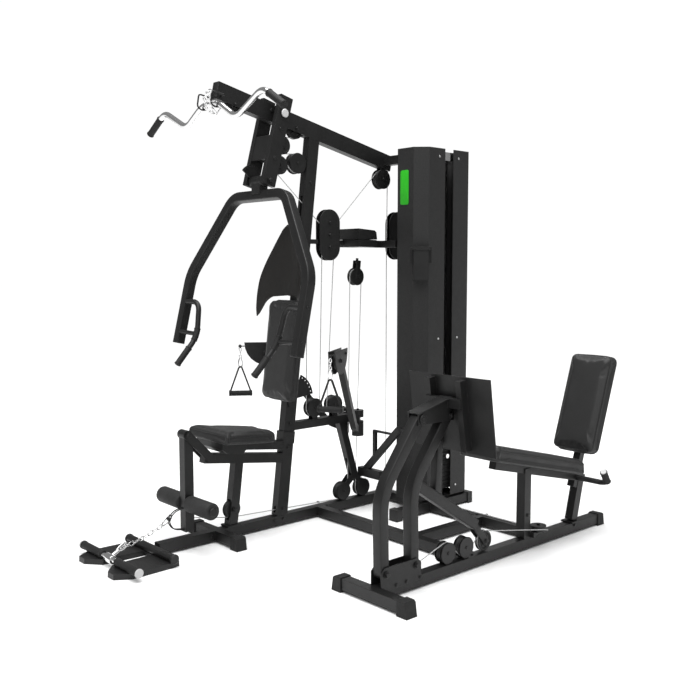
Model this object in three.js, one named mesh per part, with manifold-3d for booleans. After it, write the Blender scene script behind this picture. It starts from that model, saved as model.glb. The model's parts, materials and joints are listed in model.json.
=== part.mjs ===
// Multi station home gym: press arms, high and low pulleys, leg extension, two swivel pulley arms and
// a leg press, all driven from one weight stack. Millimetres, +Z up, the floor at z = 0. +Y runs from
// the low row foot plates to the weight tower, and the leg press stands on the +X side.
import * as THREE from 'three';
import { mergeVertices } from 'three/addons/utils/BufferGeometryUtils.js';
import Module from 'manifold-3d';

const wasm = await Module();
wasm.setup();

// ---- driving dimensions ---------------------------------------------------------------------------------

const FRAME_SHIFT = [-393.5, 116, 0]; // puts the origin under the middle of the bounding box
const TUBE = 50; // square tube of the base and the links
const HALF = TUBE / 2;
const BEAM_LOW = 12; // underside of the base tubes
const BEAM_TOP = BEAM_LOW + TUBE;
const GAP = 0.3; // clearance between pieces that touch
const PLATE = 5; // bracket plate

const BASE = { front: -1000, cross: 0, rear: 535, stabilizer: -680, stabilizerHalf: 165 };
const LINK_X = 750; // link tube between the cross beam and the rear base
const UPRIGHT = { baseY: -256, lean: 0.1175, depth: 70 };
const BOOM = { front: -628, rear: 575, midZ: 2134, fall: -0.222, height: 87 };
const SEAT_BEAM = { frontY: -734, frontZ: 445, rearY: -215, rearZ: 373 };
const POST_WHEEL = { y: -562, z: 150 };
const LEG_PIVOT = { y: -835, z: 578 };
const MID_ARM = { y0: -150, y1: 285, z0: 518, z1: 562 };
const STRUT_Z = 1545;
const CAPSULE = { width: 147, height: 282, radius: 72 }; // cheek plate of the double pulley blocks
const TOWER_BRACKET = { centreY: 643, centreZ: 1591, rootY: 510, inner: 14, outer: 18 };
const PULLEY = { radius: 50, block: 48, groove: 8, width: 24, axle: 6 };
const CABLE = { radius: 2.5, inset: 4 };

const TOWER = { x: 259.5, half: 123.5, chamfer: 62, side: 130, front: 455, rear: 909, top: 2066, low: 75,
    wall: 3 };
const STACK = { low: 110, plate: 22, gap: 2, resting: 8, lifted: 7, width: 180, depth: 320, rodSpan: 220 };

const YOKE = { pivotY: -268, pivotZ: 2192, lowY: -360, lowZ: 1846, x: 75, width: 30, depth: 78 };
const YOKE_WHEELS = [{ x: 0, y: -215, z: 2045 }, { x: 0, y: -233, z: 1940 }];
const ARMS = { topY: -360, topZ: 1773, lean: 0.231, topHalf: 224, elbowHalf: 520, elbowZ: 1364, footZ: 986 };

const PRESS_X = 1145; // centre plane of the leg press
const PRESS = { front: -660, rear: 1030, legY: -585, pivotZ: 115, legPitch: 182, topY: -370, topZ: 750,
    bendZ: 455 };
const FOOT_PLATE = { half: 239, topY: -169, topZ: 924, lowY: -119, lowZ: 576, thick: 6 };
const PRESS_SEAT = { frontY: 40, frontZ: 587, rearY: 786, rearZ: 407, thick: 70, half: 120 };
const PRESS_BACK = { lowY: 792, lowZ: 452, topY: 966, topZ: 949, thick: 70, half: 128 };

const SWIVEL = { x: 62, y: 275, low: 440, high: 588, headLow: 526, headHigh: 548, tipX: 309, tipY: -92,
    tipZ: 975, guard: 130 };
const HANDLE = { hang: 154, ball: 955, apex: 832, grip: 684, spread: 62 };

// centre and radius of each cable pulley that turns on its own pin
const WHEELS = {
  boom_front_pulley: [0, -521, 2214, 50],
  boom_mid_pulley: [0, -131, 2138, 54],
  upright_pulley: [0, -121, 1957, 54],
  boom_rear_pulley: [0, 515, 1916, 56],
  arm_pulley_front: [0, -8, 626, 52],
  arm_pulley_rear: [0, 141, 628, 52],
  base_pulley_front: [0, 205, 115, 50],
  base_pulley_rear: [0, 358, 115, 50],
  press_pulley_front: [PRESS_X, -181, 115, 48],
  press_pulley_rear: [PRESS_X, -56, 115, 48],
  lever_pulley: [PRESS_X, 88, 115, 48],
};

// ---- materials ------------------------------------------------------------------------------------------

function finish(color, roughness, metalness) {
  return () => new THREE.MeshStandardMaterial({ color, roughness, metalness });
}

const powderCoat = finish('#2b2c2e', 0.55, 0.35);
const shroudPaint = finish('#343638', 0.6, 0.3);
const vinyl = finish('#26272a', 0.65, 0.0);
const foam = finish('#303134', 0.85, 0.0);
const rubber = finish('#191a1b', 0.9, 0.0);
const plastic = finish('#232426', 0.5, 0.0);
const satinShield = finish('#2d2b28', 0.4, 0.1);
const chrome = finish('#d5d8dc', 0.12, 1.0);
const castIron = finish('#2a2b2c', 0.7, 0.5);
const wireRope = finish('#8d9094', 0.4, 0.6);

// ---- building helpers -----------------------------------------------------------------------------------

const machine = new THREE.Group();

function addPiece(name, geometry, material) {
  const mesh = new THREE.Mesh(geometry, material());
  mesh.name = name;
  machine.add(mesh);
  return mesh;
}

function toManifold(geometry) {
  const bare = geometry.clone();
  bare.deleteAttribute('normal');
  bare.deleteAttribute('uv');
  const merged = mergeVertices(bare, 1e-3);
  const vertProperties = new Float32Array(merged.attributes.position.array);
  const triVerts = new Uint32Array(merged.index.array);
  return new wasm.Manifold(new wasm.Mesh({ numProp: 3, vertProperties, triVerts }));
}

function fromManifold(solid) {
  const mesh = solid.getMesh();
  const geometry = new THREE.BufferGeometry();
  geometry.setAttribute('position', new THREE.Float32BufferAttribute(mesh.vertProperties, 3));
  geometry.setIndex(new THREE.Uint32BufferAttribute(mesh.triVerts, 1));
  const flat = geometry.toNonIndexed();
  flat.computeVertexNormals();
  return flat;
}

function join(...pieces) {
  return fromManifold(pieces.map(toManifold).reduce((a, b) => a.add(b)));
}

function cut(body, ...tools) {
  return fromManifold(tools.map(toManifold).reduce((a, b) => a.subtract(b), toManifold(body)));
}

function box(x0, x1, y0, y1, z0, z1) {
  const geometry = new THREE.BoxGeometry(x1 - x0, y1 - y0, z1 - z0);
  return geometry.translate((x0 + x1) / 2, (y0 + y1) / 2, (z0 + z1) / 2);
}

// a shape, or a list of 2-D points, extruded straight up from the plane it is drawn in
function extruded(outline, depth) {
  const shape = outline instanceof THREE.Shape
    ? outline
    : new THREE.Shape(outline.map(([u, v]) => new THREE.Vector2(u, v)));
  return new THREE.ExtrudeGeometry(shape, { depth, bevelEnabled: false, curveSegments: 6 });
}

// an outline in Y and Z, extruded along X
function slabX(outline, x0, x1) {
  const basis = new THREE.Matrix4().makeBasis(
    new THREE.Vector3(0, 1, 0), new THREE.Vector3(0, 0, 1), new THREE.Vector3(1, 0, 0));
  return extruded(outline, x1 - x0).applyMatrix4(basis).translate(x0, 0, 0);
}

// an outline in X and Z, extruded along -Y from y1 to y0
function slabY(outline, y0, y1) {
  return extruded(outline, y1 - y0).rotateX(Math.PI / 2).translate(0, y1, 0);
}

// an outline in X and Y, extruded along Z
function slabZ(outline, z0, z1) {
  return extruded(outline, z1 - z0).translate(0, 0, z0);
}

// a rectangular tube in a plane of constant X, from (y0, z0) to (y1, z1), centred on x
function strut(x, width, height, y0, z0, y1, z1) {
  const length = Math.hypot(y1 - y0, z1 - z0);
  const geometry = new THREE.BoxGeometry(width, length, height);
  return geometry.rotateX(Math.atan2(z1 - z0, y1 - y0)).translate(x, (y0 + y1) / 2, (z0 + z1) / 2);
}

function rod(from, to, radius, sides = 12) {
  const a = new THREE.Vector3(...from);
  const b = new THREE.Vector3(...to);
  const direction = b.clone().sub(a);
  const geometry = new THREE.CylinderGeometry(radius, radius, direction.length(), sides);
  const turn = new THREE.Quaternion().setFromUnitVectors(new THREE.Vector3(0, 1, 0),
      direction.clone().normalize());
  return geometry.applyQuaternion(turn).translate((a.x + b.x) / 2, (a.y + b.y) / 2, (a.z + b.z) / 2);
}

const rodX = (x0, x1, y, z, radius, sides = 14) => rod([x0, y, z], [x1, y, z], radius, sides);

// a path whose spaced points are exactly the given vertices
class VertexPath extends THREE.Curve {
  constructor(points) {
    super();
    this.vertices = points.map((p) => new THREE.Vector3(...p));
  }

  getPoint(t, target = new THREE.Vector3()) {
    const last = this.vertices.length - 1;
    const i = Math.min(last - 1, Math.floor(t * last + 1e-6));
    return target.copy(this.vertices[i]).lerp(this.vertices[i + 1], Math.min(1, Math.max(0, t * last - i)));
  }

  getPointAt(t, target) {
    return this.getPoint(t, target);
  }

  getTangentAt(t, target = new THREE.Vector3()) {
    const last = this.vertices.length - 1;
    const i = Math.round(t * last);
    const before = this.vertices[Math.max(1, i)].clone().sub(this.vertices[Math.max(1, i) - 1]).normalize();
    const next = Math.min(last - 1, i);
    const after = this.vertices[next + 1].clone().sub(this.vertices[next]).normalize();
    return target.copy(before.add(after).normalize());
  }
}

function sweep(points, radius, sides) {
  const section = new THREE.Shape();
  for (let i = 0; i < sides; i += 1) {
    const angle = (i / sides) * 2 * Math.PI;
    const place = [radius * Math.cos(angle), radius * Math.sin(angle)];
    if (i === 0) section.moveTo(...place);
    else section.lineTo(...place);
  }
  const extrudePath = new VertexPath(points);
  return new THREE.ExtrudeGeometry(section, { steps: points.length - 1, extrudePath, bevelEnabled: false });
}

// a round bar along straight runs joined by round bends
function roundTube(points, radius, bend, sides = 10, chords = 3) {
  const corners = points.map((p) => new THREE.Vector3(...p));
  const path = [corners[0]];
  for (let i = 1; i < corners.length - 1; i += 1) {
    const before = corners[i].clone().sub(corners[i - 1]);
    const after = corners[i + 1].clone().sub(corners[i]);
    const reach = Math.min(bend, before.length() * 0.48, after.length() * 0.48);
    const enter = corners[i].clone().sub(before.setLength(reach));
    const leave = corners[i].clone().add(after.setLength(reach));
    path.push(...new THREE.QuadraticBezierCurve3(enter, corners[i], leave).getPoints(chords));
  }
  path.push(corners[corners.length - 1]);
  return sweep(path.map((p) => [p.x, p.y, p.z]), radius, sides);
}

// the outline of a flat bar that follows a centre line of 2-D points, with the inner and outer bends cut off
function ribbon(points, width) {
  const half = width / 2;
  const line = points.map(([u, v]) => new THREE.Vector2(u, v));
  const side = (sign) => line.map((p, i) => {
    const before = i > 0 ? p.clone().sub(line[i - 1]).normalize() : null;
    const after = i < line.length - 1 ? line[i + 1].clone().sub(p).normalize() : null;
    const along = before && after ? before.clone().add(after).normalize() : (before || after);
    const normal = new THREE.Vector2(-along.y, along.x);
    const stretch = before ? 1 / normal.dot(new THREE.Vector2(-before.y, before.x)) : 1;
    return p.clone().add(normal.multiplyScalar(sign * half * stretch));
  });
  const left = side(1);
  const right = side(-1).reverse();
  return new THREE.Shape([...left, ...right]);
}

// 2-D centre line with each inner corner replaced by a short arc of chords
function softened(points, reach, chords = 4) {
  const result = [points[0]];
  for (let i = 1; i < points.length - 1; i += 1) {
    const corner = new THREE.Vector2(...points[i]);
    const enter = corner.clone().add(new THREE.Vector2(...points[i - 1]).sub(corner).setLength(reach));
    const leave = corner.clone().add(new THREE.Vector2(...points[i + 1]).sub(corner).setLength(reach));
    const curve = new THREE.QuadraticBezierCurve(enter, corner, leave);
    for (const p of curve.getPoints(chords)) result.push([p.x, p.y]);
  }
  result.push(points[points.length - 1]);
  return result;
}

function roundedRect(width, height, radius, chords = 4) {
  const shape = new THREE.Shape();
  const arcs = [[1, 1, 0], [-1, 1, 1], [-1, -1, 2], [1, -1, 3]];
  const points = [];
  for (const [sx, sy, quarter] of arcs) {
    const cx = sx * (width / 2 - radius);
    const cy = sy * (height / 2 - radius);
    for (let i = 0; i <= chords; i += 1) {
      const angle = (quarter + i / chords) * (Math.PI / 2);
      points.push(new THREE.Vector2(cx + radius * Math.cos(angle), cy + radius * Math.sin(angle)));
    }
  }
  shape.setFromPoints(points);
  return shape;
}

function capsuleShape() {
  return roundedRect(CAPSULE.width, CAPSULE.height, CAPSULE.radius, 5);
}

// a cable wheel on an X axle, bored for its pin
function pulleyGeometry(x, y, z, radius = PULLEY.radius, width = PULLEY.width) {
  const half = width / 2;
  const floor = radius - PULLEY.groove;
  const bore = PULLEY.axle + 0.3;
  const profile = [
    [bore, -half], [radius, -half], [floor, -3.5], [floor, 3.5], [radius, half], [bore, half], [bore, -half],
  ].map(([r, h]) => new THREE.Vector2(r, h));
  return new THREE.LatheGeometry(profile, 20).rotateZ(Math.PI / 2).translate(x, y, z);
}

// two cheek plates and a pin that hold a pulley between them; the plates reach from the pin to (rootY, rootZ)
function pulleyCheeks(y, z, rootY, rootZ, x = 0) {
  const inner = PULLEY.width / 2 + 1.5;
  const outer = inner + PLATE;
  const reach = Math.hypot(rootY - y, rootZ - z);
  const past = 15 / reach;
  const plates = [-1, 1].map((side) => {
    const centre = x + side * (inner + outer) / 2;
    return strut(centre, PLATE, 34, y - (rootY - y) * past, z - (rootZ - z) * past, rootY, rootZ);
  });
  return [...plates, rodX(x - outer - 5, x + outer + 5, y, z, PULLEY.axle, 12)];
}

const uprightY = (z) => UPRIGHT.baseY + UPRIGHT.lean * z;
const boomZ = (y) => BOOM.midZ + BOOM.fall * y;
const boomUnder = (y) => boomZ(y) - (BOOM.height / 2) * Math.hypot(1, BOOM.fall) - GAP;

// ---- base frame -----------------------------------------------------------------------------------------

function mainBeam() {
  const beam = box(-HALF, HALF, BASE.front, BASE.rear - GAP, BEAM_LOW, BEAM_TOP);
  const stabilizer = box(-BASE.stabilizerHalf, BASE.stabilizerHalf, BASE.stabilizer, BASE.stabilizer + TUBE,
    BEAM_LOW, BEAM_TOP);
  addPiece('main_beam', join(beam, stabilizer), powderCoat);
}

// a rubber end foot of a stabilizer: a block that flares towards the floor
function endFoot(name, x, y, side, alongY = false) {
  const reach = 58;
  const outline = [
    [0, 4], [0, BEAM_TOP + 4], [reach - 16, BEAM_TOP + 4], [reach - 8, BEAM_TOP - 4], [reach, 4],
        [reach + 2, 0], [0, 0],
  ];
  const block = alongY
    ? slabX(outline.map(([u, v]) => [y + side * u, v]), x - HALF - 6, x + HALF + 6)
    : slabY(outline.map(([u, v]) => [x + side * u, v]), y - HALF - 6, y + HALF + 6);
  if (name) addPiece(name, block, rubber);
  return block;
}

function baseFrame() {
  mainBeam();
  const stabilizerMid = BASE.stabilizer + HALF;
  endFoot('stabilizer_foot_left', -BASE.stabilizerHalf - GAP, stabilizerMid, -1);
  endFoot('stabilizer_foot_right', BASE.stabilizerHalf + GAP, stabilizerMid, 1);
  const pressSide = PRESS_X - HALF - GAP;
  addPiece('cross_beam', box(HALF + GAP, pressSide, BASE.cross, BASE.cross + TUBE, BEAM_LOW, BEAM_TOP),
      powderCoat);
  const rearTube = box(-HALF, pressSide, BASE.rear, BASE.rear + TUBE, BEAM_LOW, BEAM_TOP);
  const link = box(LINK_X - HALF, LINK_X + HALF, BASE.cross + TUBE + GAP, BASE.rear + 1, BEAM_LOW, BEAM_TOP);
  const skidX = TOWER.x + TOWER.half - 17;
  const skid = box(skidX - HALF, skidX + HALF, 300, 868, BEAM_LOW, BEAM_TOP);
  const skidFeet = [
    box(skidX - HALF - 6, skidX + HALF + 6, 262, 305, 0, BEAM_TOP + 4),
    box(skidX - HALF - 6, skidX + HALF + 6, 862, 900, 0, BEAM_TOP + 4),
  ];
  const farSkid = box(TOWER.x - 105, TOWER.x - 55, BASE.rear + 1, 868, BEAM_LOW, BEAM_TOP);
  const farFoot = box(TOWER.x - 111, TOWER.x - 49, 862, 900, 0, BEAM_TOP + 4);
  const sole = box(TOWER.x - 105, TOWER.x + 105, 575, 840, BEAM_TOP - 1, BEAM_TOP + 10);
  addPiece('rear_base', join(rearTube, link, skid, ...skidFeet, farSkid, farFoot, sole), powderCoat);
}

// low row foot rest: a cross tube with a tread plate on each side, their front corners cut to a point
function rowFootrest() {
  const tube = rodX(-215, 215, BASE.front - 33, 42, 21);
  const plates = [-1, 1].map((side) => {
    const outline = [
      [38, -1000], [205, -1000], [214, -1040], [222, -1250], [175, -1322], [120, -1322], [48, -1262],
          [38, -1040],
    ].map(([x, y]) => [side * x, y]);
    const inset = [
      [42, -1004], [201, -1004], [210, -1040], [218, -1248], [173, -1318], [122, -1318], [52, -1260],
          [42, -1040],
    ].map(([x, y]) => [side * x, y]);
    return cut(slabZ(outline, 0, 26), slabZ(inset, -1, 22));
  });
  const tie = box(-60, 60, BASE.front - 50, BASE.front - 16, 8, 24);
  addPiece('row_footrest', join(tube, ...plates, tie), powderCoat);
}

// ---- seat, upright and boom -----------------------------------------------------------------------------

function seatBeam() {
  const { frontY, frontZ, rearY, rearZ } = SEAT_BEAM;
  const beam = strut(0, TUBE, TUBE, frontY, frontZ, rearY, rearZ);
  const faceCut = strut(0, 90, UPRIGHT.depth + GAP * 2, uprightY(200), 200, uprightY(560), 560);
  const cheeks = [-1, 1].map((side) => {
    const inner = side * (HALF + 1);
    const outer = side * (HALF + 1 + PLATE);
    return strut((inner + outer) / 2, PLATE, 44, LEG_PIVOT.y, LEG_PIVOT.z, frontY + 34, frontZ - 4);
  });
  const bosses = [-1, 1].map((side) => {
    const inner = side * (HALF + 1);
    return rodX(Math.min(inner, inner + side * PLATE), Math.max(inner, inner + side * PLATE), LEG_PIVOT.y,
        LEG_PIVOT.z, 24);
  });
  const web = box(-HALF - 6, HALF + 6, frontY + 12, frontY + 58, frontZ - 22, frontZ + 14);
  const pin = rodX(-HALF - 12, HALF + 12, LEG_PIVOT.y, LEG_PIVOT.z, 8);
  const post = strut(0, TUBE, TUBE, -566, BEAM_TOP + 8, -524, 400);
  const foot = box(-34, 34, -606, -526, BEAM_TOP + GAP, BEAM_TOP + 10);
  const slot = box(-14, 14, POST_WHEEL.y - 80, POST_WHEEL.y + 80, POST_WHEEL.z - 54, POST_WHEEL.z + 54);
  const wheelPin = rodX(-32, 32, POST_WHEEL.y, POST_WHEEL.z, 9, 14);
  const disc = pulleyGeometry(0, POST_WHEEL.y, POST_WHEEL.z, PULLEY.block);
  addPiece('seat_beam',
      join(cut(beam, faceCut), ...cheeks, ...bosses, web, pin, cut(post, slot), foot, wheelPin, disc),
    powderCoat);
}

function mainUpright() {
  const tube = strut(0, TUBE, UPRIGHT.depth, uprightY(60), 60, uprightY(2160), 2160);
  const floorCut = box(-60, 60, -400, 0, 0, BEAM_TOP + GAP);
  const roofCut = slabX([[-300, boomUnder(-300)], [300, boomUnder(300)], [300, 2400], [-300, 2400]], -60, 60);
  const slots = [box(-9, 9, uprightY(1750) - 70, uprightY(1750) + 70, 1680, 1790),
      box(-8, 8, -400, 0, 76, 112)];
  const cheeks = pulleyCheeks(WHEELS.upright_pulley[1], WHEELS.upright_pulley[2], uprightY(1957) - 28, 1962);
  const anchor = rod([0, uprightY(1380) + 20, 1388], [0, uprightY(1380) + 56, 1388], 7, 10);
  const backPin = rodX(-38, 38, uprightY(690), 690, 8, 14);
  addPiece('main_upright', join(cut(tube, floorCut, roofCut, ...slots), ...cheeks, anchor, backPin),
      powderCoat);
}

function topBoom() {
  const beam = strut(0, TUBE, BOOM.height, BOOM.front, boomZ(BOOM.front), BOOM.rear, boomZ(BOOM.rear));
  const slots = [
    box(-14, 14, -590, -452, boomZ(-520) - 90, boomZ(-520) + 22),
    box(-14, 14, -192, -70, boomZ(-130) - 90, boomZ(-130) + 36),
    strut(0, 24, 34, -560, boomZ(-560) + 12, -100, boomZ(-100) + 15),
  ];
  const pins = [rodX(-30, 30, -521, 2214, PULLEY.axle, 10), rodX(-30, 30, -131, 2138, PULLEY.axle, 10)];
  const rearCheeks = pulleyCheeks(WHEELS.boom_rear_pulley[1], WHEELS.boom_rear_pulley[2], 515, 1990);
  const link = box(0, TOWER.x - TOWER.half - GAP, 515, 565, 1994, 2044);
  const hooks = [-1, 1].map((side) => {
    const x = side * 60;
    return roundTube([[x, -612, 2246], [x, -682, 2258], [x, -692, 2196], [x, -668, 2180], [x, -636, 2186]],
        4, 12, 6, 2);
  });
  const hookBar = rodX(-64, 64, -612, 2246, 6, 10);
  const yokePin = rodX(-YOKE.x - 22, YOKE.x + 22, YOKE.pivotY, YOKE.pivotZ, 12, 16);
  const body = cut(beam, ...slots);
  addPiece('top_boom', join(body, ...pins, ...rearCheeks, link, ...hooks, hookBar, yokePin), powderCoat);
}

// rearward arm that carries two pulleys on top and the swivel arms on its end
function midArm() {
  const { y0, y1, z0, z1 } = MID_ARM;
  const arm = box(-HALF, HALF, y0 - 60, y1, z0, z1);
  const faceCut = strut(0, 90, UPRIGHT.depth + GAP * 2, uprightY(300), 300, uprightY(760), 760);
  const cheeks = ['arm_pulley_front', 'arm_pulley_rear'].flatMap((name) => {
    const [, y, z] = WHEELS[name];
    return pulleyCheeks(y, z, y, MID_ARM.z1 - 8);
  });
  const head = slabZ(roundedRect(2 * SWIVEL.x + 32, 32, 15.9, 5), SWIVEL.headLow,
      SWIVEL.headHigh).translate(0, SWIVEL.y, 0);
  const pins = [-1, 1].map((side) => {
    const x = side * SWIVEL.x;
    return rod([x, SWIVEL.y, SWIVEL.low - 4], [x, SWIVEL.y, SWIVEL.high + 8], 7, 12);
  });
  const cableSlots = [box(-7, 7, 238, 282, 150, 600), box(-7, 7, 306, 330, 170, 210)];
  addPiece('mid_arm', cut(join(cut(arm, faceCut), ...cheeks, head, ...pins, ...midBrace()), ...cableSlots),
      powderCoat);
}

// brace under the arm, its pulley cage on the main beam, and the tie across to the weight tower
function midBrace() {
  const brace = strut(0, 40, 44, 192, MID_ARM.z0 + 8, 296, 190);
  const foot = BEAM_TOP + GAP;
  const arch = [[190, foot], [222, foot], [222, 120], [290, 178], [342, 120], [342, foot], [374, foot],
      [374, 128],
    [318, 200], [256, 200], [190, 132]];
  const cage = [14, -19].map((x0) => slabX(arch, x0, x0 + PLATE));
  const roof = box(-20, 20, 262, 345, 178, 196);
  const pins = [rodX(-24, 24, 205, 115, PULLEY.axle, 12), rodX(-24, 24, 358, 115, PULLEY.axle, 12)];
  const tie = box(10, 190, 322, 360, 190, 240);
  const diagonal = slabY(ribbon([[45, 215], [330, 500]], 38), 330, 352);
  const post = box(126, 148, 332, 350, 300, 470);
  const rail = box(126, 300, 334, 348, 462, 474);
  const stub = box(300, 326, 334, TOWER.front - GAP, 472, 500);
  return [brace, ...cage, roof, ...pins, tie, diagonal, post, rail, stub];
}

// high strut behind the upright, with a rest block on it
function rearStrut() {
  const stem = box(-12, 12, -100, 24, STRUT_Z - 12, STRUT_Z + 12);
  const through = box(-45, -33, 10, 270, STRUT_Z - 12, STRUT_Z + 12);
  const offsetPlate = box(-45, 12, 8, 24, STRUT_Z - 12, STRUT_Z + 12);
  const carrier = box(-100, 100, 250, 385, STRUT_Z - 26, STRUT_Z + 14);
  const tail = box(-20, 20, 380, 515, STRUT_Z - 26, STRUT_Z + 14);
  const faceCut = strut(0, 90, UPRIGHT.depth + GAP * 2, uprightY(1400), 1400, uprightY(1700), 1700);
  const rest = slabX([[248, STRUT_Z + 17], [390, STRUT_Z + 17], [384, STRUT_Z + 58], [370, STRUT_Z + 68],
      [248, STRUT_Z + 76]], -100, 100);
  const neck = box(-60, 60, 270, 370, STRUT_Z + 10, STRUT_Z + 20);
  const wallPlate = box(-20, TOWER.x - TOWER.half - GAP, 500, 530, STRUT_Z - 26, STRUT_Z + 14);
  addPiece('rear_strut', join(cut(stem, faceCut), offsetPlate, through, carrier, tail, rest, neck,
    wallPlate, ...towerBracket()), powderCoat);
}

// pair of capsule plates at the end of the high strut, one on each side of the lat cable
function towerBracket() {
  const { centreY, centreZ, rootY, inner, outer } = TOWER_BRACKET;
  return [-1, 1].flatMap((side) => {
    const x0 = side > 0 ? inner : -outer;
    const x1 = side > 0 ? outer : -inner;
    const capsule = slabX(capsuleShape(), x0, x1).translate(0, centreY, centreZ);
    return [capsule, box(x0, x1, rootY, centreY, STRUT_Z - 26, STRUT_Z + 14)];
  });
}

// ---- weight tower ---------------------------------------------------------------------------------------

// one half of the octagonal shroud: a folded sheet, open towards the middle of the tower
function shroudHalf(edgeY, sideY, chamferY) {
  const { x, half, chamfer, wall } = TOWER;
  const outward = Math.sign(edgeY - sideY);
  const outer = [[x - half, sideY], [x - half, chamferY], [x - half + chamfer, edgeY],
    [x + half - chamfer, edgeY], [x + half, chamferY], [x + half, sideY]];
  const inner = [[x + half - wall, sideY], [x + half - wall, chamferY + outward * -1.2],
    [x + half - chamfer - 1.2, edgeY - outward * wall], [x - half + chamfer + 1.2, edgeY - outward * wall],
    [x - half + wall, chamferY + outward * -1.2], [x - half + wall, sideY]];
  return slabZ([...outer, ...inner], TOWER.low, TOWER.top);
}

function weightTower() {
  const { x, front, rear, chamfer, side, top } = TOWER;
  const frontShell = shroudHalf(front, front + chamfer + side, front + chamfer);
  const badge = slabY(roundedRect(62, 190, 12), front - 1.6, front + 1).translate(x - 5.5, 0, 1848);
  addPiece('shroud_front', join(frontShell, badge), shroudPaint);
  addPiece('shroud_rear', shroudHalf(rear, rear - chamfer - side, rear - chamfer), shroudPaint);
  bottleHolder();
  towerCore();
  restingStack();
  liftedStack();
}

function bottleHolder() {
  const faceX = TOWER.x + TOWER.half - TOWER.chamfer / 2;
  const faceY = TOWER.front + TOWER.chamfer / 2;
  const body = cut(box(-42, 42, -66, -GAP, 0, 165), box(-36, 36, -60, -6, 5, 200));
  const rim = cut(box(-52, 52, -74, -GAP, 165, 182), box(-38, 38, -60, -6, 160, 200));
  const ears = [-1, 1].map((side) => box(side > 0 ? 42 : -58, side > 0 ? 58 : -42, -24, -GAP, 92, 180));
  const holder = join(body, rim, ...ears);
  holder.rotateZ(Math.PI / 4).translate(faceX, faceY, 1335);
  addPiece('bottle_holder', holder, plastic);
}

const rodYs = () => {
  const middle = (TOWER.front + TOWER.rear) / 2;
  return [middle - STACK.rodSpan / 2, middle + STACK.rodSpan / 2];
};

// guide rods between the sole and the head block
function towerCore() {
  const middle = (TOWER.front + TOWER.rear) / 2;
  const head = box(TOWER.x - 110, TOWER.x + 110, middle - 150, middle + 150, 2003, 2050);
  const rods = rodYs().map((y) => rod([TOWER.x, y, BEAM_TOP + 10 + GAP], [TOWER.x, y, 2010], 10, 16));
  const springs = rodYs().map((y) => rod([TOWER.x, y, BEAM_TOP + 10 + GAP], [TOWER.x, y, STACK.low - GAP],
      22, 16));
  addPiece('tower_core', join(head, ...rods, ...springs), chrome);
}

function plateBlock(z, count) {
  const middle = (TOWER.front + TOWER.rear) / 2;
  const { plate, gap, width, depth } = STACK;
  const plates = [];
  for (let i = 0; i < count; i += 1) {
    const low = z + i * (plate + gap);
    plates.push(box(TOWER.x - width / 2, TOWER.x + width / 2, middle - depth / 2, middle + depth / 2, low,
        low + plate));
    if (i < count - 1) plates.push(box(TOWER.x - width / 2 + 6, TOWER.x + width / 2 - 6,
      middle - depth / 2 + 6, middle + depth / 2 - 6, low + plate - 1, low + plate + gap + 1));
  }
  const bores = rodYs().map((y) => rod([TOWER.x, y, z - 10], [TOWER.x, y, z + 600], 11, 16));
  return cut(join(...plates), ...bores);
}

function restingStack() {
  const middle = (TOWER.front + TOWER.rear) / 2;
  const stemBore = rod([TOWER.x, middle, 90], [TOWER.x, middle, 600], 13, 16);
  addPiece('resting_plates', cut(plateBlock(STACK.low, STACK.resting), stemBore), castIron);
}

function liftedStack() {
  const middle = (TOWER.front + TOWER.rear) / 2;
  const low = STACK.low + STACK.resting * (STACK.plate + STACK.gap) - STACK.gap + GAP;
  const topZ = low + STACK.lifted * (STACK.plate + STACK.gap);
  const stem = rod([TOWER.x, middle, STACK.low + 20], [TOWER.x, middle, topZ + 90], 12, 16);
  const bridge = box(TOWER.x - 30, TOWER.x + 30, middle - 150, middle + 150, topZ - 3, topZ + 30);
  const bores = rodYs().map((y) => rod([TOWER.x, y, low], [TOWER.x, y, topZ + 60], 11, 16));
  const pinHole = rod([TOWER.x - 200, middle, low + 11], [TOWER.x + 200, middle, low + 11], 5.4, 12);
  addPiece('lifted_plates', cut(join(plateBlock(low, STACK.lifted), stem, cut(bridge, ...bores)), pinHole),
      castIron);
  const pinZ = low + 11;
  const shank = rod([TOWER.x - 60, middle, pinZ], [TOWER.x + 118, middle, pinZ], 5, 12);
  const knob = rod([TOWER.x + 104, middle, pinZ], [TOWER.x + 132, middle, pinZ], 13, 16);
  addPiece('selector_pin', join(shank, knob), chrome);
}

// ---- press arms -----------------------------------------------------------------------------------------

function pressYoke() {
  const { pivotY, pivotZ, lowY, lowZ, x, width, depth } = YOKE;
  const slope = (pivotY - lowY) / (pivotZ - lowZ);
  const top = [pivotY + slope * 88, pivotZ + 88];
  const sides = [-1, 1].map((s) => strut(s * x, width, depth, lowY - slope * 24, lowZ - 24, ...top));
  const along = (z) => pivotY + slope * (z - pivotZ);
  const spacer = strut(0, 2 * x, 12, along(1955) - 32, 1955, along(2080) - 32, 2080);
  const discs = YOKE_WHEELS.map((w) => pulleyGeometry(0, w.y, w.z, PULLEY.block));
  const cheeks = YOKE_WHEELS.flatMap((w) => {
    const rootZ = Math.min(w.z + 36, 2060);
    return [...pulleyCheeks(w.y, w.z, along(rootZ) - 33, rootZ), rodX(-16, 16, w.y, w.z, 9, 12)];
  });
  const bore = rodX(-x - 40, x + 40, pivotY, pivotZ, 12.4, 16);
  const lowBore = rodX(-x - 40, x + 40, lowY, lowZ, 8.4, 16);
  addPiece('press_yoke', cut(join(...sides, spacer, ...cheeks, ...discs), bore, lowBore), powderCoat);
}

// the two handles: a round tube out of the arm, down past it, and forward at the bottom
function handlePoints(side) {
  return [[side * 505, -500, 1214], [side * 388, -492, 1216], [side * 358, -528, 1030],
      [side * 349, -661, 885]];
}

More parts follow.
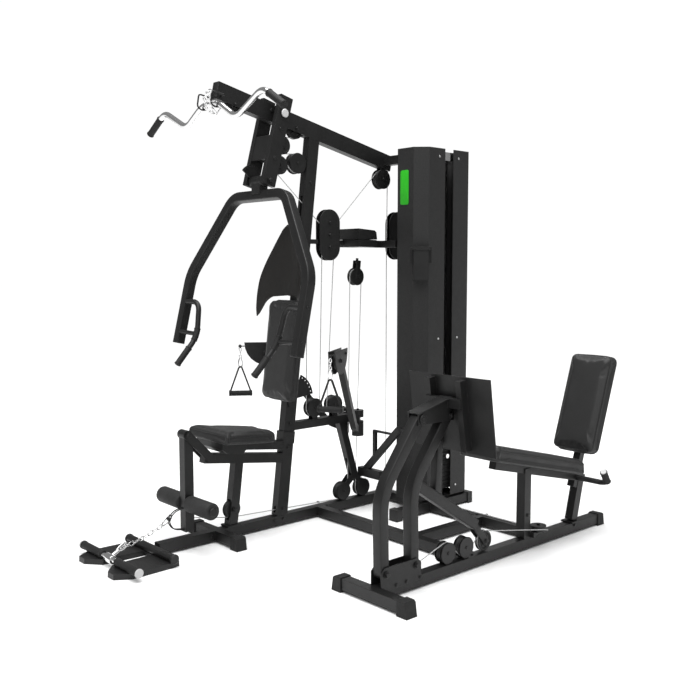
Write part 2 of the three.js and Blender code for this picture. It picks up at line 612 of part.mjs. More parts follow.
function pressArms() {
  const { topY, topZ, lean, topHalf, elbowHalf, elbowZ, footZ } = ARMS;
  const tilt = Math.atan(lean);
  const slant = (z) => (z - topZ) / Math.cos(tilt);
  const half = [[topHalf, 0], [elbowHalf, slant(elbowZ)], [elbowHalf + 8, slant(footZ)]];
  const line = [...half.map(([u, v]) => [-u, v]).reverse(), ...half];
  const frame = slabY(ribbon(softened(line, 52), TUBE), -HALF, HALF).rotateX(-tilt).translate(0, topY, topZ);
  const lug = strut(0, 70, 56, topY - 2, topZ + 8, YOKE.lowY, YOKE.lowZ);
  const hub = rodX(-YOKE.x + 16, YOKE.x - 16, YOKE.lowY, YOKE.lowZ, 30);
  const pin = rodX(-YOKE.x - 18, YOKE.x + 18, YOKE.lowY, YOKE.lowZ, 8, 12);
  const sector = adjusterSector(YOKE.lowY, YOKE.lowZ, 94, 78, 142, -52, -46, 5);
  const handles = [-1, 1].flatMap((side) => [
    roundTube(handlePoints(side), 13, 60, 12),
    rod([side * 505, -540, 1050], [side * 360, -526, 1042], 12, 12),
  ]);
  addPiece('press_arms', join(frame, lug, hub, pin, sector, ...handles), powderCoat);
}

// a fan-shaped plate about an X axis with a row of holes near its rim; angles in degrees from +Y
function adjusterSector(y, z, radius, from, to, x0, x1, holes) {
  const shape = new THREE.Shape();
  shape.moveTo(y, z);
  const steps = 8;
  for (let i = 0; i <= steps; i += 1) {
    const angle = THREE.MathUtils.degToRad(from + ((to - from) * i) / steps);
    shape.lineTo(y + radius * Math.cos(angle), z + radius * Math.sin(angle));
  }
  shape.closePath();
  const pins = [];
  for (let i = 0; i < holes; i += 1) {
    const angle = THREE.MathUtils.degToRad(from + ((to - from) * (i + 0.7)) / (holes + 0.4));
    const reach = radius - 12;
    pins.push(rodX(x0 - 5, x1 + 5, y + reach * Math.cos(angle), z + reach * Math.sin(angle), 4.6, 6));
  }
  return cut(slabX(shape, x0, x1), ...pins);
}

// ---- leg extension --------------------------------------------------------------------------------------

const ROLLER = { y: -829, z: 232, radius: 38, inner: 30, outer: 232 };

function legExtension() {
  const { y, z } = LEG_PIVOT;
  const arm = box(-HALF, HALF, -852, -802, 90, z + 2);
  const head = rodX(-HALF, HALF, y, z, 24);
  const bore = rodX(-60, 60, y, z, 8.4, 16);
  const axle = rodX(-ROLLER.outer - 5, ROLLER.outer + 5, ROLLER.y, ROLLER.z, 9, 14);
  const collars = [-1, 1].map((side) => {
    const x = side * (ROLLER.outer + 5);
    return rodX(Math.min(x, x + side * 6), Math.max(x, x + side * 6), ROLLER.y, ROLLER.z, 16, 16);
  });
  const guard = [-8, 8].map((x) => roundTube(
    [[x, -848, 212], [x, -905, 200], [x, -938, 160], [x, -912, 112], [x, -848, 100]], 3, 22, 6));
  const eye = rodX(-10, 10, -932, 168, 8, 12);
  addPiece('leg_arm', join(cut(join(arm, head), bore), axle, ...collars, ...guard, eye), powderCoat);
  for (const [name, side] of [['foam_roller_left', -1], ['foam_roller_right', 1]]) {
    const a = side * ROLLER.inner;
    const b = side * ROLLER.outer;
    const sleeve = rodX(Math.min(a, b), Math.max(a, b), ROLLER.y, ROLLER.z, ROLLER.radius, 24);
    addPiece(name, cut(sleeve, rodX(-260, 260, ROLLER.y, ROLLER.z, 9.4, 14)), foam);
  }
}

// ---- seat and back of the main station ------------------------------------------------------------------

const SEAT = { top: 590, thick: 58, tilt: -0.118, frontY: -705 };

function seatAssembly() {
  const outline = new THREE.Shape([
    [-186, 0], [186, 0], [172, 40], [160, 150], [126, 330], [100, 372], [-100, 372], [-126, 330],
        [-160, 150], [-172, 40],
  ].map(([x, y]) => new THREE.Vector2(x, y)));
  const pad = slabZ(outline, -SEAT.thick, 0).rotateX(Math.atan(SEAT.tilt)).translate(0, SEAT.frontY,
      SEAT.top);
  addPiece('seat_pad', pad, vinyl);
  const under = (y) => SEAT.top + SEAT.tilt * (y - SEAT.frontY) - SEAT.thick - 3;
  const sleeveOuter = strut(0, TUBE + 14, UPRIGHT.depth + 14, uprightY(452), 452, uprightY(516), 516);
  const sleeveBore = strut(0, TUBE + 1.2, UPRIGHT.depth + 1.2, uprightY(400), 400, uprightY(560), 560);
  const arm = strut(0, 60, 44, -640, under(-640) - 24, uprightY(480) - 30, under(uprightY(480)) - 24);
  const block = slabX([[-690, under(-690)], [-690, under(-690) - 30], [-662, 473], [-566, 461], [-548, 480],
    [-548, under(-548)]], -120, 120);
  const rearCut = strut(0, 200, 60, uprightY(400) + 65, 400, uprightY(560) + 65, 560);
  addPiece('seat_carriage', join(cut(join(sleeveOuter, arm), sleeveBore, rearCut), block), powderCoat);
}

function backAssembly() {
  const lean = 0.118;
  const padY = (z) => -283 + lean * (z - 705);
  const tilt = Math.atan(lean);
  const shape = roundedRect(272, 540, 46, 5);
  const pad = slabY(shape, -28, 28).rotateX(-tilt).translate(0, padY(960) + 30, 960);
  addPiece('back_pad', pad, vinyl);
  const rear = (z) => padY(z) + 60.5;
  const pivot = { y: uprightY(690), z: 690 };
  const spine = strut(0, 64, 8, rear(724) + 5, 724, rear(1160) + 5, 1160);
  const cheekPlate = [[rear(724), 724], [rear(800), 800], [uprightY(780) - 10, 780],
      [uprightY(740) + 30, 740],
    [uprightY(650) + 20, 650], [uprightY(650) - 20, 650]];
  const cheeks = [-32, 27].map((x0) => slabX(cheekPlate, x0, x0 + PLATE));
  const wing = adjusterSector(pivot.y, pivot.z, 142, 8, 66, 27, 27 + PLATE, 5);
  const bore = rodX(-60, 60, pivot.y, pivot.z, 8.4, 14);
  addPiece('back_bracket', cut(join(spine, wing, ...cheeks), bore), powderCoat);
}

// curved two-lobed shield in front of the upright, behind the user's shoulders
function neckShield() {
  const bow = 0.00189;
  const arc = [];
  for (let x = -210; x <= 210; x += 30) arc.push([x, -bow * x * x]);
  const sheet = slabZ([...arc, ...arc.map(([x, y]) => [x, y - 5]).reverse()], 1100, 1660);
  sheet.applyMatrix4(new THREE.Matrix4().set(1, 0, 0, 0, 0, 1, 0.07, -179 - 0.07 * 1239, 0, 0, 1, 0, 0, 0,
      0, 1));
  const half = [[30, 1632], [58, 1612], [96, 1548], [148, 1440], [178, 1350], [188, 1260], [189, 1180],
      [184, 1136],
    [172, 1150], [138, 1222], [100, 1250]];
  const outline = [...half, ...half.map(([x, z]) => [-x, z]).reverse()];
  const trimmed = toManifold(sheet).intersect(toManifold(slabY(outline, -500, 200)));
  const standoffs = [1320, 1500].map((z) => {
    const front = -184 + 0.07 * (z - 1239);
    return toManifold(box(-18, 18, front, uprightY(z) - UPRIGHT.depth / 2 - 3, z - 16, z + 16));
  });
  addPiece('neck_shield', fromManifold(standoffs.reduce((a, b) => a.add(b), trimmed)), satinShield);
}

// ---- swivel pulley arms ---------------------------------------------------------------------------------

// drawn along +X from its post and turned into place
function swivelArm(side) {
  const { x, y, low, high, headLow, headHigh, tipX, tipY, tipZ, guard } = SWIVEL;
  const reach = Math.hypot(tipX - x, tipY - y);
  const lower = rod([0, 0, low], [0, 0, headLow - 0.5], 34, 20);
  const upper = rod([0, 0, headHigh + 0.5], [0, 0, high], 34, 20);
  const web = cut(box(19, 33, -18, 18, headLow - 20, headHigh + 20),
      rod([0, 0, low], [0, 0, high], 18.5, 20));
  const bore = rod([0, 0, low - 10], [0, 0, high + 30], 7.4, 12);
  const arm = slabY(ribbon(softened([[10, 474], [90, 505], [reach - 24, tipZ - 52]], 30), 38), -16, 16);
  const armCut = box(-60, 30, -20, 20, headLow - 0.5, headHigh + 0.5);
  const guardShape = new THREE.Shape();
  guardShape.moveTo(reach - guard, tipZ);
  guardShape.absarc(reach, tipZ, guard, Math.PI, 2 * Math.PI, false);
  guardShape.closePath();
  const shells = [-1, 1].map((s) => slabY(guardShape, s > 0 ? 15 : -19, s > 0 ? 19 : -15));
  const wheelDisc = rod([reach + 16, -12, tipZ - 56], [reach + 16, 12, tipZ - 56], 44, 20);
  const pin = rod([reach + 16, -23, tipZ - 56], [reach + 16, 23, tipZ - 56], 7, 12);
  const slot = box(reach - 34, reach + 70, -13.5, 13.5, tipZ - 110, tipZ + 4);
  const stub = rod([reach + 20, 0, HANDLE.ball], [reach + HANDLE.hang, 0, HANDLE.ball], 3, 8);
  const ball = new THREE.SphereGeometry(10, 10, 8).translate(reach + HANDLE.hang, 0, HANDLE.ball);
  const body = cut(join(cut(join(lower, upper, web, arm), bore, slot), ...shells), armCut);
  const solid = join(body, wheelDisc, pin, web, stub, ball);
  const heading = Math.atan2(tipY - y, tipX - x);
  placeSide(solid, side, heading);
  addPiece(side > 0 ? 'swivel_arm_right' : 'swivel_arm_left', solid, powderCoat);

  const handle = dHandle();
  if (side < 0) handle.rotateZ(Math.PI / 2);
  handle.translate(reach + HANDLE.hang, 0, 0);
  placeSide(handle, side, heading);
  addPiece(side > 0 ? 'd_handle_right' : 'd_handle_left', handle, plastic);
}

// hangs under the ball at the origin, its grip along Y
function dHandle() {
  const { ball, apex, grip, spread } = HANDLE;
  const stem = rod([0, 0, apex - 4], [0, 0, ball - 10.6], 4, 8);
  const eye = rodX(-7, 7, 0, apex, 9, 12);
  const straps = [-1, 1].map((s) => strut(0, 14, 5, 0, apex, s * spread, grip));
  const bar = rod([0, -spread - 8, grip], [0, spread + 8, grip], 15, 14);
  return join(stem, eye, ...straps, bar);
}

function placeSide(geometry, side, heading) {
  geometry.rotateZ(side > 0 ? heading : Math.PI - heading);
  geometry.translate(side * SWIVEL.x, SWIVEL.y, 0);
}

// ---- bars -----------------------------------------------------------------------------------------------

const LAT_Y = -655;

function latBar() {
  const half = [[591, 2122], [433, 2218], [222, 2114], [70, 2204]].map(([x, z]) => [x, LAT_Y, z]);
  const points = [...half.map(([x, y, z]) => [-x, y, z]), ...half.slice().reverse()];
  const bar = roundTube(points, 12.5, 40, 12);
  const collar = rod([0, LAT_Y, 2204], [0, LAT_Y, 2258], 6, 12);
  const eye = rodX(-5, 5, LAT_Y, 2262, 13, 14);
  const link = rod([0, LAT_Y, 2204], [0, LAT_Y + 27, 2166], 6, 8);
  addPiece('lat_bar', join(bar, collar, eye, link), chrome);
}

const ROW_BAR = { y: -1250, z: 42 };

// row bar on the foot rest with its chain up to the eye on the leg arm
function rowBar() {
  const { y, z } = ROW_BAR;
  const bar = rodX(-284, 284, y, z, 12.5);
  const grips = [[-262, -70], [70, 262]].map(([x0, x1]) => rodX(x0, x1, y, z, 15.5));
  const swivel = rod([0, y + 6, z + 8], [0, y + 50, z + 34], 9, 12);
  const chain = rod([0, y + 46, z + 31], [0, -952, 158], 6, 8);
  const hook = roundTube([[0, -966, 150], [0, -952, 182], [0, -930, 192], [0, -910, 178], [0, -917, 156]],
      3, 8, 6, 3);
  addPiece('row_bar', join(bar, ...grips, swivel, chain, hook), chrome);
}

// ---- pulleys --------------------------------------------------------------------------------------------

function wheels() {
  for (const [name, place] of Object.entries(WHEELS)) addPiece(name, pulleyGeometry(...place), plastic);
}

const DOUBLE_BLOCK = { y: 106, z: 1583, pitch: 68 };
const SINGLE_BLOCK = { y: 314, z: 1351 };

// floating blocks: two cheek plates with their wheels between them
function floatingBlocks() {
  const { y, z, pitch } = DOUBLE_BLOCK;
  const capsule = capsuleShape();
  const cheeks = [-1, 1].map((side) => {
    const x0 = side > 0 ? 14 : -18;
    return slabX(capsule, x0, x0 + 4).translate(0, y, z);
  });
  const wheelAt = (wy, wz) => join(pulleyGeometry(0, wy, wz, PULLEY.block), rodX(-20, 20, wy, wz, 8, 12));
  addPiece('double_block', join(...cheeks, wheelAt(y, z + pitch), wheelAt(y, z - pitch)), plastic);
  const single = [-1, 1].map((side) => {
    const x0 = side > 0 ? 14 : -18;
    return strut((2 * x0 + 4) / 2, 4, 30, SINGLE_BLOCK.y, SINGLE_BLOCK.z - 16, SINGLE_BLOCK.y + 12,
        SINGLE_BLOCK.z + 92);
  });
  const top = rodX(-18, 18, SINGLE_BLOCK.y + 11, SINGLE_BLOCK.z + 84, 7, 12);
  addPiece('single_block', join(...single, top, wheelAt(SINGLE_BLOCK.y, SINGLE_BLOCK.z)), plastic);
}

// ---- cables ---------------------------------------------------------------------------------------------

// a station is a point or a wheel in a plane of constant X;
// seen from +X, turn is +1 anticlockwise and -1 clockwise
function beltPoints(stations) {
  const radius = (s) => (s.turn || 0) * ((s.radius || PULLEY.block) - CABLE.inset);
  const headings = stations.slice(1).map((next, i) => {
    const here = stations[i];
    const dy = next.y - here.y;
    const dz = next.z - here.z;
    return Math.atan2(dz, dy) - Math.asin((radius(next) - radius(here)) / Math.hypot(dy, dz));
  });
  const points = [];
  stations.forEach((s, i) => {
    if (!s.turn) {
      points.push([s.x, s.y, s.z]);
      return;
    }
    const from = headings[i - 1];
    let to = headings[i];
    while (s.turn > 0 && to < from) to += 2 * Math.PI;
    while (s.turn < 0 && to > from) to -= 2 * Math.PI;
    const chords = Math.max(1, Math.ceil(Math.abs(to - from) / 0.42));
    for (let k = 0; k <= chords; k += 1) {
      const angle = from + ((to - from) * k) / chords;
      points.push([s.x, s.y + radius(s) * Math.sin(angle), s.z - radius(s) * Math.cos(angle)]);
    }
  });
  return points;
}

const point = (x, y, z) => ({ x, y, z });
const wheel = (name, turn) => {
  const [x, y, z, radius] = WHEELS[name];
  return { x, y, z, radius, turn };
};

function cables() {
  const upper = { x: 0, y: DOUBLE_BLOCK.y, z: DOUBLE_BLOCK.z + DOUBLE_BLOCK.pitch, turn: 1 };
  const lat = beltPoints([
    point(0, -620, 2160), wheel('boom_front_pulley', -1), wheel('boom_mid_pulley', -1),
    { ...YOKE_WHEELS[0], turn: 1 }, wheel('upright_pulley', -1), { ...YOKE_WHEELS[1], turn: 1 },
    upper, wheel('boom_rear_pulley', -1), point(0, 562, 1500), point(0, 562, BEAM_TOP + 3),
  ]);
  addPiece('cable_lat', sweep(lat, CABLE.radius, 6), wireRope);
  const lower = { x: 0, y: DOUBLE_BLOCK.y, z: DOUBLE_BLOCK.z - DOUBLE_BLOCK.pitch, turn: 1 };
  const arms = beltPoints([
    point(0, 236, 575), wheel('arm_pulley_rear', -1), lower, wheel('arm_pulley_front', -1),
    point(0, uprightY(1380) + 48, 1380),
  ]);
  addPiece('cable_arms', sweep(arms, CABLE.radius, 6), wireRope);
  const block = { x: 0, y: SINGLE_BLOCK.y, z: SINGLE_BLOCK.z, turn: -1 };
  const low = beltPoints([
    point(0, -801, 150), { x: 0, y: POST_WHEEL.y, z: POST_WHEEL.z, turn: 1 },
        wheel('base_pulley_front', 1), block,
    wheel('base_pulley_rear', 1), point(0, 500, 68),
  ]);
  const across = [[20, 545, 68], [60, 560, 68], [1130, 560, 68], [1188, 545, 78], [1218, 505, 96],
      [1220, 470, 104]];
  const press = beltPoints([
    point(PRESS_X, 320, 120), wheel('lever_pulley', 1), wheel('press_pulley_rear', -1),
        wheel('press_pulley_front', 1),
    point(PRESS_X, -360, 108),
  ]);
  const bridge = [[1208, 425, 110]];
  addPiece('cable_low', sweep([...low, ...across, ...bridge, ...press.slice(1)], CABLE.radius, 6), wireRope);
}

// ---- leg press ------------------------------------------------------------------------------------------

const SIDE = HALF + 1.5; // inner face of the brackets beside a tube

function sidePlates(outline, x = PRESS_X) {
  return [-1, 1].map((s) => slabX(outline, x + (s > 0 ? SIDE : -SIDE - PLATE),
      x + (s > 0 ? SIDE + PLATE : -SIDE)));
}

function pinX(x, y, z, radius = 8) {
  return rodX(x - SIDE - PLATE - 6, x + SIDE + PLATE + 6, y, z, radius, 14);
}

function pressRail() {
  const { front, rear, legY, pivotZ, legPitch } = PRESS;
  const rail = box(PRESS_X - HALF, PRESS_X + HALF, front + TUBE, rear, BEAM_LOW, BEAM_TOP);
  const cross = box(PRESS_X - 170, PRESS_X + 170, front, front + TUBE + 1, BEAM_LOW, BEAM_TOP);
  const rearY = legY + legPitch;
  const plates = sidePlates([[legY - 31, 44], [rearY + 31, 44], [rearY + 31, pivotZ + 8],
      [rearY + 8, pivotZ + 30],
    [legY - 8, pivotZ + 30], [legY - 31, pivotZ + 8]]);
  const rungTop = BEAM_TOP - 4;
  const rungs = [legY - 26, rearY + 26].map((y) => (
    box(PRESS_X - SIDE - 2, PRESS_X + SIDE + 2, y - 3, y + 3, 38, rungTop)));
  const pins = [pinX(PRESS_X, legY, pivotZ), pinX(PRESS_X, rearY, pivotZ)];
  const cheeks = ['press_pulley_front', 'press_pulley_rear'].flatMap((name) => {
    const [x, y, z] = WHEELS[name];
    return pulleyCheeks(y, z, y, BEAM_TOP - 4, x);
  });
  addPiece('press_rail', join(rail, cross, ...plates, ...rungs, ...pins, ...cheeks), powderCoat);
  endFoot('press_foot_left', PRESS_X - 170 - GAP, front + HALF, -1);
  endFoot('press_foot_right', PRESS_X + 170 + GAP, front + HALF, 1);
  addPiece('press_foot_rear', endFoot(null, PRESS_X, rear + GAP, 1, true), rubber);
}

function pressLegs() {
  const { legY, pivotZ, legPitch, topY, topZ, bendZ } = PRESS;
  const line = (offset) => softened([[legY + offset, pivotZ], [legY + offset - 8, bendZ],
      [topY + offset, topZ]], 60);
  const legGeometry = (offset) => join(
    slabX(ribbon(line(offset), TUBE), PRESS_X - HALF, PRESS_X + HALF),
    rodX(PRESS_X - HALF, PRESS_X + HALF, legY + offset, pivotZ, HALF, 20),
    rodX(PRESS_X - HALF, PRESS_X + HALF, topY + offset, topZ, HALF, 20));
  const bores = (offset, topRadius) => [pinX(PRESS_X, legY + offset, pivotZ, 8.4),
      pinX(PRESS_X, topY + offset, topZ, topRadius)];
  addPiece('front_press_leg', cut(legGeometry(0), ...bores(0, 8.4)), powderCoat);
  const lever = strut(PRESS_X, 44, TUBE, -395, 472, 18, 206);
  const brace = strut(PRESS_X, 40, 34, -238, 640, -256, 372);
  const [, y, z] = WHEELS.lever_pulley;
  const cheeks = pulleyCheeks(y, z, -4, 216, PRESS_X);
  addPiece('rear_press_leg',
      join(cut(legGeometry(legPitch), ...bores(legPitch, 9.6)), lever, brace, ...cheeks), powderCoat);
}

function footCarriage() {
  const { topY, topZ, legPitch } = PRESS;
  const { half, thick } = FOOT_PLATE;
  const rearY = topY + legPitch;
  const lean = (FOOT_PLATE.lowY - FOOT_PLATE.topY) / (FOOT_PLATE.topZ - FOOT_PLATE.lowZ);
  const faceY = (z) => FOOT_PLATE.topY + lean * (FOOT_PLATE.topZ - z);
  const tread = strut(PRESS_X, 2 * half, thick, faceY(FOOT_PLATE.lowZ) - thick / 2, FOOT_PLATE.lowZ,
    faceY(FOOT_PLATE.topZ) - thick / 2, FOOT_PLATE.topZ);
  const ribY = (z) => faceY(z) - thick - 20;
  const ribs = [-90, 90].map((dx) => strut(PRESS_X + dx, 30, 42, ribY(590), 590, ribY(910), 910));
  const cross = box(PRESS_X - 104, PRESS_X + 104, rearY - 22, rearY + 8, topZ + 34, topZ + 78);
  const plates = sidePlates([[topY - 26, topZ - 24], [topY - 26, topZ + 26], [rearY - 30, topZ + 70],
      [rearY + 8, topZ + 76],
    [rearY + 22, topZ + 20], [rearY + 22, topZ - 24]]);
  const pins = [pinX(PRESS_X, topY, topZ), pinX(PRESS_X, rearY, topZ)];
  addPiece('foot_carriage', join(tread, ...ribs, cross, ...plates, ...pins), powderCoat);
}

function pressSeat() {
  const { frontY, frontZ, rearY, rearZ, thick, half } = PRESS_SEAT;
  const fall = Math.atan2(rearZ - frontZ, rearY - frontY);
  const length = Math.hypot(rearY - frontY, rearZ - frontZ);
  const cushion = slabZ(roundedRect(2 * half, length, 40, 4), -thick, 0).rotateX(fall);
  addPiece('press_seat_pad', cushion.translate(PRESS_X, (frontY + rearY) / 2, (frontZ + rearZ) / 2), vinyl);
  const back = PRESS_BACK;
  const backLength = Math.hypot(back.topY - back.lowY, back.topZ - back.lowZ);
  const lean = Math.atan2(back.topY - back.lowY, back.topZ - back.lowZ);
  const backShape = roundedRect(2 * back.half, backLength, 36, 4);
  const backPad = slabY(backShape, 0, back.thick).rotateX(-lean);
  addPiece('press_back_pad',
      backPad.translate(PRESS_X, (back.lowY + back.topY) / 2, (back.lowZ + back.topZ) / 2), vinyl);
  pressSeatFrame(fall, lean);
}

function pressSeatFrame(fall, lean) {
  const under = (y) => PRESS_SEAT.frontZ
      + Math.tan(fall) * (y - PRESS_SEAT.frontY) - PRESS_SEAT.thick / Math.cos(fall);
  const seatTube = strut(PRESS_X, 40, 40, 150, under(150) - 21, 905, under(905) - 21);
  const post = box(PRESS_X - HALF, PRESS_X + HALF, 375, 425, BEAM_TOP + GAP, under(400) - 12);
  const rearPost = strut(PRESS_X, 44, TUBE, 815, 74, 872, under(872) - 20);
  const footPlate = box(PRESS_X - 36, PRESS_X + 36, 776, 850, BEAM_TOP + GAP, BEAM_TOP + 9);
  const behind = (z, offset) => (
    PRESS_BACK.lowY + Math.tan(lean) * (z - PRESS_BACK.lowZ) + offset / Math.cos(lean));
  const spine = strut(PRESS_X, 40, 38, behind(250, 92), 250, behind(830, 92), 830);
  const adjuster = adjusterSector(behind(600, 100), 590, 120, -40, 40, PRESS_X - 3, PRESS_X + 3, 4);
  const grip = roundTube([[PRESS_X - 215, 770, 372], [PRESS_X - 205, 832, 300], [PRESS_X + 205, 832, 300],
    [PRESS_X + 215, 770, 372]], 14, 46, 12);
  const saddle = box(PRESS_X - 20, PRESS_X + 20, 818, 880, 286, 316);
  const [wheelX, wheelY, wheelZ] = [1175, 483, 104];
  const guide = rod([wheelX, wheelY, wheelZ - 12], [wheelX, wheelY, wheelZ + 12], 40, 24);
  const guidePin = rod([wheelX, wheelY, BEAM_TOP + 20], [wheelX, wheelY, wheelZ + 20], 8, 12);
  const guideArm = box(wheelX - 20, wheelX + 20, 424, wheelY + 14, BEAM_TOP + 16, BEAM_TOP + 26);
  const guideRoot = box(PRESS_X - 20, PRESS_X + 50, 420, 436, BEAM_TOP + 4, BEAM_TOP + 30);
  addPiece('press_seat_frame',
      join(seatTube, post, rearPost, footPlate, spine, adjuster, grip, saddle, guide, guidePin,
    guideArm, guideRoot), powderCoat);
}

// ---- assembly -------------------------------------------------------------------------------------------

baseFrame();
rowFootrest();
seatBeam();
mainUpright();
topBoom();
midArm();
rearStrut();
weightTower();
pressYoke();
pressArms();
legExtension();
seatAssembly();
backAssembly();
neckShield();
swivelArm(-1);
swivelArm(1);
latBar();
rowBar();
wheels();
floatingBlocks();
cables();
pressRail();
pressLegs();
footCarriage();
pressSeat();

machine.position.set(...FRAME_SHIFT);

export default machine;
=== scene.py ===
import json
import math

import bmesh
import bpy
from mathutils import Matrix, Vector
from mathutils.bvhtree import BVHTree

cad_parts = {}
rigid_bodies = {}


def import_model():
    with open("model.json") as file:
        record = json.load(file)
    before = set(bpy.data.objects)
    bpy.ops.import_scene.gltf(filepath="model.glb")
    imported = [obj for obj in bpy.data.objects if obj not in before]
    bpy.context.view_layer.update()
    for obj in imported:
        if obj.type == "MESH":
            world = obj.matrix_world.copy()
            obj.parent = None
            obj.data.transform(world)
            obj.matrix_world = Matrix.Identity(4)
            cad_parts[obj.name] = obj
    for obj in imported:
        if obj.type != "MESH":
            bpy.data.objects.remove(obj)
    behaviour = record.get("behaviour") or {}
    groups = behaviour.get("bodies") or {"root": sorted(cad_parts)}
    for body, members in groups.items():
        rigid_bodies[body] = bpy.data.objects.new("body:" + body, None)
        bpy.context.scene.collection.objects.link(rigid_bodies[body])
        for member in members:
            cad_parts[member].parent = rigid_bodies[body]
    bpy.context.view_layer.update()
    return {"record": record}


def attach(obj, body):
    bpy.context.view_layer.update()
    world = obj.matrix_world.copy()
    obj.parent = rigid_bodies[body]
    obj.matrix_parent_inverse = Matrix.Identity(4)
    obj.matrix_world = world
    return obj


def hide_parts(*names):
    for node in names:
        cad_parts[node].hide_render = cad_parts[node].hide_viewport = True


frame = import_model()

# Lengths below are millimetres in the machine's own coordinates: x = 0 is the middle of the main
# station, y = 0 its cross beam and z = 0 the floor. at() turns them into the frame's metres.
SHIFT = Vector((-0.3935, 0.116, 0.0))
ALONG_X = Vector((1, 0, 0))
UP = Vector((0, 0, 1))


def at(point):
    return Vector(point) / 1000 + SHIFT


# ---- camera -------------------------------------------------------------------------------------

camera_data = bpy.data.cameras.new("camera")
camera_data.lens = 44.98
camera_data.sensor_width = 36.0
camera = bpy.data.objects.new("camera", camera_data)
camera.location = (3.3337, -2.9769, 1.400)
camera.rotation_euler = (math.pi / 2 - 0.0934487, 0.000314, 0.836559)
bpy.context.collection.objects.link(camera)
bpy.context.scene.camera = camera

# ---- materials ----------------------------------------------------------------------------------


class Nodes:
    """A material's node tree, with short calls for the nodes that several finishes share."""

    def __init__(self, name):
        self.material = bpy.data.materials.new(name)
        self.material.use_nodes = True
        self.tree = self.material.node_tree
        self.shader = self.tree.nodes["Principled BSDF"]
        self.object_space = self.tree.nodes.new("ShaderNodeTexCoord").outputs["Object"]

    def link(self, output, socket):
        self.tree.links.new(output, socket)

    def noise(self, scale, detail=4.0, roughness=0.55):
        node = self.tree.nodes.new("ShaderNodeTexNoise")
        node.inputs["Scale"].default_value = scale
        node.inputs["Detail"].default_value = detail
        node.inputs["Roughness"].default_value = roughness
        self.link(self.object_space, node.inputs["Vector"])
        return node.outputs["Fac"]

    def cells(self, scale, feature="DISTANCE_TO_EDGE"):
        node = self.tree.nodes.new("ShaderNodeTexVoronoi")
        node.feature = feature
        node.inputs["Scale"].default_value = scale
        self.link(self.object_space, node.inputs["Vector"])
        return node.outputs["Distance"]

    def ramp(self, value, low, high, first, second):
        node = self.tree.nodes.new("ShaderNodeValToRGB")
        start, end = node.color_ramp.elements
        start.position, end.position = low, high
        start.color, end.color = (*first, 1), (*second, 1)
        self.link(value, node.inputs["Fac"])
        return node.outputs["Color"]

    def spread(self, value, low, high):
        node = self.tree.nodes.new("ShaderNodeMapRange")
        node.inputs["From Min"].default_value = 0.25
        node.inputs["From Max"].default_value = 0.75
        node.inputs["To Min"].default_value = low
        node.inputs["To Max"].default_value = high
        self.link(value, node.inputs["Value"])
        return node.outputs["Result"]

    def soft_edges(self, radius):
        node = self.tree.nodes.new("ShaderNodeBevel")
        node.samples = 4
        node.inputs["Radius"].default_value = radius
        return node.outputs["Normal"]

    def bump(self, height, distance, strength=1.0, normal=None):
        node = self.tree.nodes.new("ShaderNodeBump")
        node.inputs["Distance"].default_value = distance
        node.inputs["Strength"].default_value = strength
        self.link(height, node.inputs["Height"])
        if normal is not None:
            self.link(normal, node.inputs["Normal"])
        return node.outputs["Normal"]

    def set(self, **sockets):
        for name, value in sockets.items():
            self.shader.inputs[name.replace("_", " ")].default_value = value


def grey(value, warmth=0.0):
    return (value * (1 + warmth), value, value * (1 - warmth))


def coat(name, dark, light, rough, grain, depth, edge=0.0022, mottling=9.0):
    """A sprayed or moulded finish: two close shades, uneven gloss, a fine grain and soft edges."""
    n = Nodes(name)
    n.link(n.ramp(n.noise(mottling), 0.3, 0.7, dark, light), n.shader.inputs["Base Color"])
    n.link(n.spread(n.noise(grain / 6), rough[0], rough[1]), n.shader.inputs["Roughness"])
    normal = n.soft_edges(edge) if edge else None
    n.link(n.bump(n.noise(grain, 2.0), depth, 0.6, normal), n.shader.inputs["Normal"])
    n.set(Specular_IOR_Level=0.34)
    return n.material


def leather(name, dark, light, pore, depth):
    """Grained vinyl: pebbles between creases, with broad soft shading. The base colour is painted darker
    in the creases between the pebbles as shade.
    """
    n = Nodes(name)
    pebbles = n.cells(pore)
    # painted shade: the colour ramp darkens the vinyl towards the creases between the pebbles
    n.link(n.ramp(pebbles, 0.0, 0.12, dark, light), n.shader.inputs["Base Color"])
    n.link(n.spread(n.noise(14.0), 0.46, 0.6), n.shader.inputs["Roughness"])
    wrinkles = n.bump(n.noise(28.0, 3.0), 0.0006, 0.5)
    n.link(n.bump(pebbles, depth, 0.7, wrinkles), n.shader.inputs["Normal"])
    n.set(Sheen_Weight=0.05, Sheen_Roughness=0.5, Specular_IOR_Level=0.4)
    return n.material


def polished(name, colour, low, high):
    """Chrome plate with faint brushing in its gloss."""
    n = Nodes(name)
    n.link(n.ramp(n.noise(30.0), 0.35, 0.65, grey(colour * 0.93), grey(colour)),
           n.shader.inputs["Base Color"])
    n.link(n.spread(n.noise(240.0, 6.0), low, high), n.shader.inputs["Roughness"])
    n.link(n.bump(n.noise(700.0, 2.0), 0.00003, 0.3), n.shader.inputs["Normal"])
    n.set(Metallic=1.0)
    return n.material


def stranded(name):
    """Steel rope under a clear coat: fine slanted strands, with painted shade in the grooves between
    them and painted highlight on their crowns.
    """
    n = Nodes(name)
    wave = n.tree.nodes.new("ShaderNodeTexWave")
    wave.bands_direction = "DIAGONAL"
    wave.inputs["Scale"].default_value = 180.0
    wave.inputs["Distortion"].default_value = 1.0
    n.link(n.object_space, wave.inputs["Vector"])
    # painted shade and highlight: the wave bands darken the grooves between the strands and lighten
    # their crowns
    n.link(n.ramp(wave.outputs["Fac"], 0.2, 0.8, grey(0.3), grey(0.62)), n.shader.inputs["Base Color"])
    n.link(n.bump(wave.outputs["Fac"], 0.0004), n.shader.inputs["Normal"])
    n.set(Metallic=0.3, Roughness=0.4, Coat_Weight=0.5, Coat_Roughness=0.2)
    return n.material


